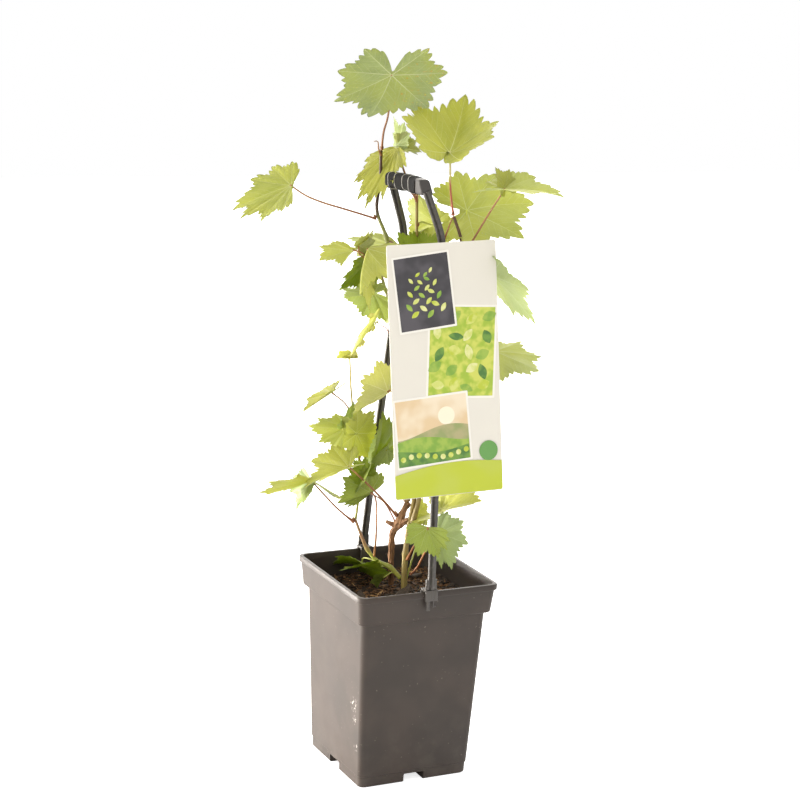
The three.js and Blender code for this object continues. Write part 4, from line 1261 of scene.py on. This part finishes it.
def sweep(name, path, section, materials, widths=None, heights=None, shape=None):
    # a section (mm, across and outwards) carried along a path, its across kept level with X
    path = np.array(path)
    ahead = np.gradient(path, axis=0)
    ahead /= np.linalg.norm(ahead, axis=1)[:, None]
    across = np.array((1.0, 0, 0)) - ahead * ahead[:, :1]
    across /= np.linalg.norm(across, axis=1)[:, None]
    outward = np.cross(across, ahead)
    count, steps = len(section), len(path)
    points = []
    for i in range(steps):
        wide = widths[i] if widths is not None else 1
        tall = heights[i] if heights is not None else 1
        for x, y in section:
            if shape:
                x, y = shape(i / (steps - 1), x, y)
            points.append(path[i] + across[i] * x * wide * mm + outward[i] * y * tall * mm)
    faces = [tuple(range(count))[::-1], tuple(range((steps - 1) * count, steps * count))]
    for i in range(steps - 1):
        for j in range(count):
            k = (j + 1) % count
            faces.append((i * count + j, i * count + k, (i + 1) * count + k, (i + 1) * count + j))
    piece = makePiece(name, points, faces, materials)
    editMode(piece)
    bpy.ops.mesh.select_all(action="SELECT")
    bpy.ops.mesh.normals_make_consistent(inside=False)
    editMode(piece, False)
    return piece


def makeLeg(node):
    front = handleLook["legSection"]
    section = front + [(x, -y) for x, y in front[::-1]]
    line = [p for p, r in centreLine(node)]
    path = roundedLine(line, handleLook["elbowRadius"])
    path[-1] += (path[-1] - path[-2]) / np.linalg.norm(path[-1] - path[-2]) * handleLook["legEntry"]
    foot = [path[0] + (path[1] - path[0]) * t for t in np.linspace(0, 0.25, 6)[1:-1]]
    path = np.concatenate([path[:1], foot, path[1:]])
    lift = (path[:, 2] - path[0, 2]) / handleLook["flareHeight"]
    widths = 1 + handleLook["footFlare"] * np.clip(1 - lift, 0, 1) ** 2
    leg = sweep(node.replace("_", "-"), path, section, [handlePlastic], widths)
    softenEdges(leg, 0.18 * mm, 25)
    smoothByAngle(leg, 40)
    settle(leg, "handle", node)


def roundSection(wide, tall, squareness, count=32):
    power = 2 / squareness
    angles = np.linspace(0, 2 * np.pi, count, endpoint=False)
    return [(math.copysign(abs(math.cos(a)) ** power, math.cos(a)) * wide / 2,
             math.copysign(abs(math.sin(a)) ** power, math.sin(a)) * tall / 2) for a in angles]


def gripLine():
    # the grip's line from its back end, over its middle, to its front end
    low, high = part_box("handle_grip")
    rings = [p for p, r in centreLine("handle_grip", 1.2 * mm)]
    rings = sorted(rings, key=lambda p: -p.y)
    ends = [np.array((r.x, r.y, r.z)) for r in (rings[0], rings[len(rings) // 2], rings[-1])]
    middle = (low.z + high.z) / 2
    for end, rise in zip(ends, handleLook["gripRises"]):
        end[2] = middle + rise * mm
    ends[0] += (1.5 * mm, -handleLook["backTrim"], 0)
    ends[-1] += (0, handleLook["frontTrim"], 0)
    path, reach = smoothLine(ends, 1.4 * mm)
    return path, reach / reach[-1]


def scallops(t, x, y):
    # finger bumps along the underside
    if y < 0:
        return x, y
    return x, y * (0.84 + 0.3 * abs(math.sin(math.pi * (t * 3.2 + 0.1))))


def makeRibs(path, share, last):
    section = roundSection(handleLook["gripWide"] + handleLook["ribProud"],
                           handleLook["gripTall"] + handleLook["ribProud"], handleLook["squareness"])
    proud = (0.985, 1, 1, 0.985)
    ribs = []
    for rib in handleLook["ribShares"]:
        at = int(np.searchsorted(share, rib))
        centre = path[at]
        ahead = (path[at + 1] - path[at - 1]) / np.linalg.norm(path[at + 1] - path[at - 1])
        loop = [centre + ahead * handleLook["ribWide"] * t for t in (-0.5, -0.2, 0.2, 0.5)]
        here = share[at] / share[last + 1]
        rib = sweep("rib", loop, section, [ribHighlightPlastic], proud, proud,
                    lambda t, x, y: scallops(here, x, y))
        for vertex in rib.data.vertices:  # each rib leans forwards towards its foot
            vertex.co += Vector(ahead) * (centre[2] - vertex.co.z) * handleLook["ribLean"]
        ribs.append(rib)
    ribPiece = joinPieces("grip-ribs", ribs)
    smoothByAngle(ribPiece, 45)
    settle(ribPiece, "handle")


def makeGrip():
    path, share = gripLine()
    last = int(np.searchsorted(share, handleLook["bracketFrom"]))
    section = roundSection(handleLook["gripWide"], handleLook["gripTall"], handleLook["squareness"])
    rounding = np.sqrt(np.clip(1 - (1 - np.minimum(share / 0.09, 1)) ** 2, 0.05, 1))[:last + 2]
    body = sweep("grip-rubber", path[:last + 2], section, [gripRubber], rounding, rounding, scallops)
    smoothByAngle(body, 45)
    settle(body, "handle", "handle_grip")
    makeRibs(path, share, last)
    tail = path[last:]
    grown = np.ones(len(tail))
    grown[0] = 0.97
    grown[-1] = 0.9
    lean = handleLook["bracketLean"]
    section = roundSection(handleLook["bracketWide"], handleLook["bracketTall"], 5, 40)
    bracket = sweep("grip-bracket", tail, section, [bracketPlastic], grown, grown,
                    lambda t, x, y: (x + lean * (y + 3) * t, y))
    softenEdges(bracket, 0.6 * mm, 50)
    smoothByAngle(bracket, 45)
    settle(bracket, "handle")


def clipBlock(name, size, centre, bevel, taper=None):
    # a moulded block; taper scales its lower face (across, deep)
    block = newPrimitive(bpy.ops.mesh.primitive_cube_add, name, size=1, location=[c * mm for c in centre])
    block.scale = [s * mm for s in size]
    placeInMesh(block)
    if taper:
        editMode(block)
        selectFaces(block, lambda face: face.normal.z < -0.9)
        bpy.ops.transform.resize(value=(taper[0], taper[1], 1), center_override=[c * mm for c in centre])
        editMode(block, False)
    applyModifier(block, "BEVEL", width=bevel * mm, segments=3)
    return block


def makeClip(node, sign):
    low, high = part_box(node)
    middle, top = (low.x + high.x) / 2 / mm, high.z / mm
    wide = (high.x - low.x) / mm
    outer = sign * (max(abs(low.y), abs(high.y)) / mm - 1.5)
    inner = sign * (min(abs(low.y), abs(high.y)) / mm + 1.2)
    between, above = abs(outer - inner) + 2.6, (outer + inner) / 2
    # name, size, middle, bevel and, where it narrows downwards, by how much; all in mm
    rows = [
        ("outer", (wide, 3, 11), (middle, outer, top - 5.5), 0.6),
        ("inner", (wide, 2.4, 12), (middle, inner, top - 6), 0.5),
        ("bridge", (wide, between, 2.2), (middle, above, top - 1.1), 0.7),
        ("leftBarb", (4.0, 2.4, 11), (middle - 3.2, outer, top - 15), 0.5, (0.75, 0.8)),
        ("leftHook", (4.6, 1.5, 2.6), (middle - 2.9, outer + sign * 0.4, top - 19.2), 0.4, (0.8, 0.5)),
        ("rightBarb", (1.6, 2.2, 8.5), (middle + 2.2, outer, top - 13.6), 0.4, (0.8, 0.8)),
        ("rightHook", (3.4, 1.6, 1.8), (middle + 3.6, outer, top - 16.4), 0.4, (0.7, 0.8)),
        ("ridge", (2.6, 1.4, 9.6), (middle + 0.4, outer + sign * 1.1, top - 4.8), 0.4, (0.8, 0.8)),
        ("railRight", (2.4, 1.0, 8.4), (middle + 4.2, outer + sign * 1.2, top - 4.6), 0.35),
    ]
    parts = [clipBlock(*row) for row in rows]
    for side, reach in ((-1, 4.9), (1, 4.6)):  # flanges that carry the leg's rails out to the clip
        centre = (middle + side * reach, sign * 75.6, top + 4.8)
        flange = clipBlock("flange", (2.0, 2.2, 11), centre, 0.45)
        editMode(flange)
        selectFaces(flange, lambda face: face.normal.z > 0.9)
        bpy.ops.transform.translate(value=(-side * 1.6 * mm, -sign * 0.8 * mm, 0))
        editMode(flange, False)
        parts.append(flange)
    clip = joinPieces(node.replace("_", "-"), parts)
    clip.data.materials.clear()
    clip.data.materials.append(bracketPlastic)
    smoothByAngle(clip, 35)
    settle(clip, "handle", node)


for legNode in ("handle_leg_front", "handle_leg_back"):
    makeLeg(legNode)
makeGrip()
makeClip("handle_clip_front", -1)
makeClip("handle_clip_back", 1)
print("handle made")


cardLook = {
    "corner": 2.2 * mm, "paper": "#D5D0C4", "shade": "#BDB8B0", "layer": 0.035 * mm, "border": 4,
    # each picture's middle, across and up from the card's, its width and height in mm, and its tilt
    "leafPicture": (17, 16, 66, 84, -4),
    "hillPicture": (-15, -56, 72, 62, 3),
    "sprigPicture": (-19, 74, 54, 68, 5),
    # inks, from the lowest slot up: colour, and for a mottled one its other colour and patch in mm
    "inks": {
        "whiteInkBorder": ["#E2DED4"], "slateInk": ["#343134", "#4C484C", 22],
        "brightLeafInk": ["#95AE34", "#C0C456", 9], "limeLeafInk": ["#ACB834", "#C6CA6C", 7],
        "grassInk": ["#759A34", "#94AC44", 9], "deepGrassInk": ["#456F2E", "#678E36", 8],
        "paleLeafInk": ["#C0C668", "#D2D292", 6], "eveningSkyInk": ["#D2B890", "#DECFB4", 26],
        "sunInk": ["#E6DEC4"], "farHillInk": ["#8A945C", "#A49C70", 14],
        "limeBandInk": ["#AEB82A"], "greenSpotInk": ["#548E3A"],
    },
}


def cardFrame():
    # the card's middle, its right, up and outward directions, and its width, height and thickness
    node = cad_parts["picture_card"]
    points = np.unique(np.array([v.co for v in node.data.vertices]).round(6), axis=0)
    corner = points[0]
    edges = sorted((points[1:] - corner).tolist(), key=lambda e: np.linalg.norm(e))
    thick, wide, tall = (np.array(edges[i]) for i in (0, 1, 3))
    right, up = wide / np.linalg.norm(wide), tall / np.linalg.norm(tall)
    right = right if right[0] > 0 else -right
    up = up - right * (up @ right)
    up = (up if up[2] > 0 else -up) / np.linalg.norm(up)
    height = np.ptp((np.array([v.co for v in node.data.vertices]) - points.mean(0)) @ up)
    wide, thick = np.linalg.norm(wide), np.linalg.norm(thick)
    return points.mean(0), right, up, np.cross(right, up), wide, height, thick


def printedLaminate(name, colour, other=None, patch=6.0):
    # ink under a clear gloss laminate; pictures have soft blurred patches of a second ink
    surface = {"Roughness": 0.32, "IOR": 1.5, "Coat Weight": 0.25, "Coat Roughness": 0.15}
    material, tree, shader, output = newMaterial(name, surface)
    place = objectPlace(tree)
    if other:
        share = ramp(tree, noiseAt(tree, place, patch * mm, 2), 0.36, 0.64)
    else:  # plain paper or ink is only faintly uneven
        share = ramp(tree, noiseAt(tree, place, 30 * mm, 1), 0.3, 0.7, 0.0, 0.06)
    second = linear(other or cardLook["shade"])
    colourShader(tree, shader, mixColours(tree, share, linear(colour), second))
    bump(tree, shader, noiseAt(tree, place, 20 * mm, 1), 0.2 * mm, 0.4)
    return material


def roundedRectangle(u, w, wide, tall, corner=0.8, tilt=0.0):
    points = []
    for quarter, (sx, sy) in enumerate(((1, 1), (-1, 1), (-1, -1), (1, -1))):
        for step in range(4):
            a = math.radians(90 * quarter + 30 * step)
            points.append((sx * (wide / 2 - corner) + corner * math.cos(a),
                           sy * (tall / 2 - corner) + corner * math.sin(a)))
    return turned(points, u, w, tilt)


def turned(points, u, w, tilt):
    c, s = math.cos(math.radians(tilt)), math.sin(math.radians(tilt))
    return [(u + x * c - y * s, w + x * s + y * c) for x, y in points]


def leafOval(u, w, long, wide, tilt):
    # a simple pointed leaf
    half = [(long * (t - 0.5), wide / 2 * math.sin(math.pi * t) ** 0.8) for t in np.linspace(0, 1, 12)]
    return turned(half + [(x, -y) for x, y in half[-2:0:-1]], u, w, tilt)


def disc(u, w, radius, steps=32):
    angles = [2 * math.pi * i / steps for i in range(steps)]
    return [(u + radius * math.cos(a), w + radius * math.sin(a)) for a in angles]


def hill(u, w, wide, tall, rise, shift, tilt):
    # the ground under a rolling skyline, across the whole width of a picture
    top = [(x, rise * math.sin(x / wide * 4.2 + shift)) for x in np.linspace(-wide / 2, wide / 2, 18)]
    return turned([(-wide / 2, -tall), (wide / 2, -tall)] + top[::-1], u, w, tilt)


def framed(picture, ink):
    # a picture's white border and its ground
    u, w, wide, tall, tilt = cardLook[picture]
    edge = cardLook["border"]
    return [("whiteInkBorder", roundedRectangle(u, w, wide + edge, tall + edge, 1, tilt)),
            (ink, roundedRectangle(u, w, wide, tall, 0.5, tilt))]


def leafPicture(rng):
    # big pointed leaves scattered on bright green
    u, w, wide, tall, tilt = cardLook["leafPicture"]
    shapes = framed("leafPicture", "brightLeafInk")
    greens = ("limeLeafInk", "grassInk", "deepGrassInk", "paleLeafInk", "paleLeafInk")
    for row in range(5):
        for column in range(4):
            x = -24 + column * 16 + rng.uniform(-3, 3)
            y = -33 + row * 16.5 + rng.uniform(-3, 3)
            place = turned([(x, y)], u, w, tilt)[0]
            ink = rng.choice(greens)
            long, broad = rng.uniform(13, 16.5), rng.uniform(7, 10)
            shapes.append((ink, leafOval(*place, long, broad, rng.uniform(0, 180))))
    return shapes


def hillPicture():
    # green hills under a pale sun, with rows of small round bushes on the nearest
    u, w, wide, tall, tilt = cardLook["hillPicture"]
    shapes = framed("hillPicture", "eveningSkyInk")
    shapes += [("sunInk", disc(u + 14, w + 13, 8.5)),
               ("farHillInk", hill(u, w - 1, wide, 30, 5, 0.6, tilt)),
               ("grassInk", hill(u, w - 9, wide, 22, 4, 2.4, tilt)),
               ("deepGrassInk", hill(u, w - 18, wide, 13, 3, 4.4, tilt))]
    for step in range(9):
        place = turned([(-32 + step * 8, -24 + 2.2 * math.sin(step * 0.9))], u, w, tilt)[0]
        shapes.append(("paleLeafInk" if step % 2 else "limeLeafInk", disc(*place, 2.6, 20)))
    return shapes


def sprigPicture():
    # three sprigs on dark slate
    u, w, wide, tall, tilt = cardLook["sprigPicture"]
    shapes = framed("sprigPicture", "slateInk")
    greens = ("limeLeafInk", "grassInk", "paleLeafInk")
    for sprig, (x, y, lean) in enumerate(((-15, -22, 80), (1, -24, 92), (15, -20, 104))):
        a = math.radians(lean)
        for step in range(7):
            reach = 3 + step * 6.2
            side = 1 if step % 2 else -1
            along = (x + reach * math.cos(a) - side * 3.2 * math.sin(a),
                     y + reach * math.sin(a) + side * 3.2 * math.cos(a))
            place = turned([along], u, w, tilt)[0]
            leaf = leafOval(*place, 9.5 - step * 0.6, 4.6 - step * 0.3, lean + tilt + side * 48)
            shapes.append((greens[(sprig + step) % 3], leaf))
    return shapes


def cardPrint():
    # every printed shape, from the lowest layer to the top: (ink, outline in mm)
    shapes = leafPicture(random.Random(5)) + hillPicture() + sprigPicture()
    # lime band with an arched top, and a green spot
    arch = [(x, -95 + 7 * math.cos(x / 55 * 1.35) + x * 0.05) for x in np.linspace(54.6, -54.6, 24)]
    shapes.append(("limeBandInk", [(-53, -118.4), (53, -118.4), (54.6, -117)] + arch + [(-54.6, -117)]))
    shapes.append(("greenSpotInk", disc(41, -80, 9.5, 48)))
    return shapes


def makeCard():
    middle, right, up, outward, wide, tall, thick = cardFrame()
    card = newPrimitive(bpy.ops.mesh.primitive_plane_add, "cardSheet", size=1)
    card.scale = (wide, tall, 1)
    placeInMesh(card)
    editMode(card)
    bpy.ops.mesh.select_all(action="SELECT")
    bpy.ops.mesh.bevel(offset=cardLook["corner"], segments=5, affect="VERTICES")
    editMode(card, False)
    applyModifier(card, "SOLIDIFY", thickness=thick * 0.8, offset=0)
    turn = Matrix(np.column_stack([right, up, outward]).tolist()).to_4x4()
    card.data.transform(Matrix.Translation(Vector(middle)) @ turn)
    smoothByAngle(card, 30)
    card.data.materials.append(printedLaminate("laminatedCardSheet", cardLook["paper"]))
    settle(card, "card", "picture_card")
    inks = [printedLaminate(name, *row) for name, row in cardLook["inks"].items()]
    slotOf = {name: slot for slot, name in enumerate(cardLook["inks"])}
    points, faces, slots = [], [], []
    for number, (ink, outline) in enumerate(cardPrint()):
        lift = thick * 0.4 + cardLook["layer"] * (1 + 0.25 * number)
        start = len(points)
        points += [np.array(middle) + right * u * mm + up * w * mm + outward * lift for u, w in outline]
        face = tuple(range(start, start + len(outline)))
        corners = [points[i] for i in face]
        spin = sum(np.cross(a, b) for a, b in zip(corners, corners[1:] + corners[:1])) @ outward
        faces.append(face if spin > 0 else face[::-1])
        slots.append(slotOf[ink])
    prints = makePiece("card-print", points, faces, inks, slots, smooth=False)
    applyModifier(prints, "SOLIDIFY", thickness=cardLook["layer"] * 0.8, offset=-1)
    settle(prints, "card")


makeCard()
print("picture card made")


smallLook = {
    "budRadius": 1.5 * mm, "budLong": 4.6 * mm, "curlRadius": 3.2 * mm,
    "beadRadius": 0.75 * mm, "beads": 16, "clusterLong": 13 * mm, "budGreens": ("#A1A93E", "#B2B84E"),
    # furled leaves: share of the way down the shoot, length, fold, roll and lean
    "furled": [(0.1, 11, 78, 20, 5), (0.26, 13, 76, 160, -4), (0.45, 13, 74, 80, 6),
               (0.62, 12, 70, -100, -8), (0.85, 10, 50, 200, 12)],
    # leaves at the tip of the thin pale stem: heading, length and rise
    "tipLeaves": [(175, 15, 4), (20, 11, 14), (-60, 10, 10)],
    "thinStalk": [(-22.8, 3.8, 234.6), (-22, 7.1, 262.1), (-23.1, 10, 273), (-25.6, 13.9, 276.8)],
    "lowLeafAt": (-33.7, 13.4, 294.3),
    # each tendril or growing tip: its way in mm, the turns of its coil, its thickness
    "curls": [
        ([(-17, 9, 436), (-20, 11, 441), (-27, 19, 445)], 0.5, 0.45 * mm),
        ([(32, -1, 526), (36, -5, 544), (38, -6, 549)], 0.3, 0.7 * mm),
        ([(13, 23, 560), (8, 19, 566), (3, 23, 573)], 0.1, 1.0 * mm),
        ([(13, 23, 560), (11, 18, 566), (10, 18, 571)], 0.1, 0.8 * mm),
        ([(-7, 64, 600), (-12, 60, 606), (-14, 58, 613)], 0.3, 0.7 * mm),
    ],
    # each flower cluster: where it springs from, in mm, and which way it hangs
    "clusters": [((-26, 22, 486), (-0.5, 0.1, -1)), ((-24, 18, 446), (-0.8, 0.2, -0.6))],
}


def flowerBudSkin():
    # unopened flower buds: waxy young tissue, yellow-green, with paler specks 0.4 mm wide
    material, tree, shader, output = newMaterial("unopenedFlowerBud", {"Roughness": 0.5})
    specks = ramp(tree, noiseAt(tree, objectPlace(tree), 0.4 * mm), 0.4, 0.6)
    darker, paler = smallLook["budGreens"]
    colourShader(tree, shader, mixColours(tree, specks, linear(darker), linear(paler)))
    return material


beadSkin = flowerBudSkin()


def thinLimb(name, points, radii, skin, kind="stalk"):
    return skinLimb(name, points, [r * mm for r in radii], kind, skin)


def makeStub():
    # the spur that was pruned off the old stem, and the arm beside it
    low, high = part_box("old_stub")
    centre = (low + high) / 2
    root = min(lines["old_stem"], key=lambda p: (p - centre).length)
    ahead = (centre - root).normalized()
    tip = centre + ahead * (high - low).length * 0.32
    stub = thinLimb("old-stub", [root, root.lerp(tip, 0.5), tip], knottyStem["stubRadii"],
                    "peelingVineBark", "old")
    settle(stub, "bark", "old_stub")
    arm = thinLimb("old-arm", inMetres(knottyStem["arm"]), knottyStem["armRadii"],
                   "peelingVineBark", "old")
    settle(arm, "bark")


def makeBud(root, ahead, size):
    # a pointed bud in the angle of a leafstalk
    long = smallLook["budLong"] * size
    ahead = ahead.normalized()
    line = [root, root + ahead * long * 0.35, root + ahead * long * 0.7, root + ahead * long]
    thick = smallLook["budRadius"] * size
    radii = [thick * 0.8, thick * 1.1, thick * 0.75, thick * 0.15]
    return skinLimb("bud", line, radii, "stalk", "downyBudScale")


def makeBuds(rng):
    buds = []
    for node, blades in sprays.items():
        for blade in blades:
            if "stalk" not in blade:
                continue
            if isinstance(blade["stalk"], str):
                (root, _), (second, _) = stalkLine(blade["stalk"], blade["at"])[:2]
                ahead = second - root
            else:
                limb, share = blade["stalk"][:2]
                root = alongLimb(limb, share)
                ahead = Vector(blade["at"]) - root
            up = Vector((rng.uniform(-0.2, 0.2), rng.uniform(-0.2, 0.2), 1))
            ahead = ahead.normalized() * 0.7 + up * 0.8
            buds.append(makeBud(root + up * 0.8 * mm, ahead, rng.uniform(0.8, 1.15)))
    settle(joinPieces("axil-buds", buds), "cane")


def tendril(points, curl, thick, rng):
    # a thin stem that ends in a coil of so many turns
    path = inMetres(points)
    ahead = (path[-1] - path[-2]).normalized()
    side = ahead.cross(Vector((rng.uniform(-1, 1), rng.uniform(-1, 1), 0.6))).normalized()
    lift = ahead.cross(side)
    centre = path[-1] + side * smallLook["curlRadius"]
    perTurn = 10
    steps = int(curl * perTurn)
    for i in range(1, steps + 1):
        a = i / perTurn * 2 * math.pi
        radius = smallLook["curlRadius"] * (1 - 0.5 * i / steps)
        path.append(centre - side * radius * math.cos(a) + ahead * radius * math.sin(a)
                    + lift * 1.1 * mm * i / perTurn)
    return skinLimb("tendril", path, [thick * 1.5, thick, thick * 0.6], "stalk", "redLeafstalkSkin")


def beadCluster(root, ahead, rng):
    # a small inflorescence: its axis, and beads crowded along it
    tip = root + ahead.normalized() * smallLook["clusterLong"]
    axis = thinLimb("axis", [root, root.lerp(tip, 0.5), tip], (0.5, 0.4, 0.25), "greenLeafstalkSkin")
    beads = []
    for i in range(smallLook["beads"]):
        share = 0.15 + 0.85 * i / smallLook["beads"]
        off = Vector((rng.gauss(0, 1), rng.gauss(0, 1), rng.gauss(0, 1))).normalized()
        place = root.lerp(tip, share) + off * (2.6 - 1.4 * share) * mm
        radius = smallLook["beadRadius"] * rng.uniform(0.8, 1.2)
        bead = newPrimitive(bpy.ops.mesh.primitive_ico_sphere_add, "bead", subdivisions=2,
                            radius=radius, location=place)
        placeInMesh(bead)
        bead.data.materials.append(beadSkin)
        beads.append(bead)
    return axis, beads


def makeFurledShoot(rng):
    # its stem, with young leaves still folded round it
    line = [p for p, r in centreLine("young_shoot")]
    line = line if line[0].z > line[-1].z else line[::-1]
    core = thinLimb("young-shoot", line, (1.2, 2.6, 3.2, 2.4, 1.3), "furledLeafSkin")
    settle(core, "cane", "young_shoot")
    ahead = (line[-1] - line[0]).normalized()
    heading = math.degrees(math.atan2(ahead.y, ahead.x))
    climb = math.degrees(math.asin(ahead.z))
    for number, (share, long, fold, roll, lean) in enumerate(smallLook["furled"], 1):
        at = line[0].lerp(line[-1], share)
        blade = dict(turn=(heading + lean, climb + lean * 0.6, roll), length=long, bend=18, fold=fold,
                     spread=(0.45, 0.45))
        leaf = makeBlade("leaf-furled-" + str(number), blade, at, leafSkins["youngGold"], rng)
        settle(leaf, "leaf")


def makePaleStem(rng):
    # a thin pale stem that ends in flat young leaves
    line = [p for p, r in centreLine("tendril_stem")]
    top = line[-1] + Vector((0, 0, 1.5 * mm))
    path = [lines["low_shoot_tip"][-1]] + line[1:] + [top]
    settle(thinLimb("tendril-stem", path, (1.0, 0.9, 0.85), "paleLeafstalkSkin"), "cane", "tendril_stem")
    for number, (heading, long, climb) in enumerate(smallLook["tipLeaves"], 1):
        blade = dict(turn=(heading, climb, 8), length=long, bend=12, fold=22)
        leaf = makeBlade("leaf-young-tip-" + str(number), blade, top, leafSkins["youngGold"], rng)
        settle(leaf, "leaf")


def makeLowLeaf(rng):
    # a thin upright stalk to the low left leaf, and one small leaf above it
    path = [alongLimb("low_shoot", 0.45)] + inMetres(smallLook["thinStalk"])
    settle(thinLimb("thin-stalk", path, (1.15, 1.0, 0.9), "rosyLeafstalkSkin"), "cane")
    at = Vector(smallLook["lowLeafAt"]) * mm
    blade = dict(turn=(137, 50, 69), length=19, bend=10, fold=15, spread=(0.8, 0.7))
    settle(makeBlade("leaf-low-inside", blade, at, leafSkins["shade"], rng), "leaf")
    foot = alongLimb("low_shoot_tip", 0.45)
    sag = at.lerp(foot, 0.5) - Vector((0, 0, 1)) * mm
    petiole = thinLimb("low-inside-stalk", [at, sag, foot], (0.7, 0.65, 0.7), "greenLeafstalkSkin")
    settle(petiole, "cane")


def makeSmallGrowth():
    rng = random.Random(23)
    makeStub()
    makeBuds(rng)
    makeFurledShoot(rng)
    makePaleStem(rng)
    makeLowLeaf(rng)
    curls = [tendril(*row, rng) for row in smallLook["curls"]]
    settle(joinPieces("tendrils", curls), "cane")
    stems, beads = [], []
    for root, ahead in smallLook["clusters"]:
        axis, more = beadCluster(Vector(root) * mm, Vector(ahead), rng)
        stems.append(axis)
        beads += more
    settle(joinPieces("flower-cluster-stalks", stems), "cane")
    settle(joinPieces("flower-cluster-beads", beads), "leaf")


makeSmallGrowth()
print("small growth made")
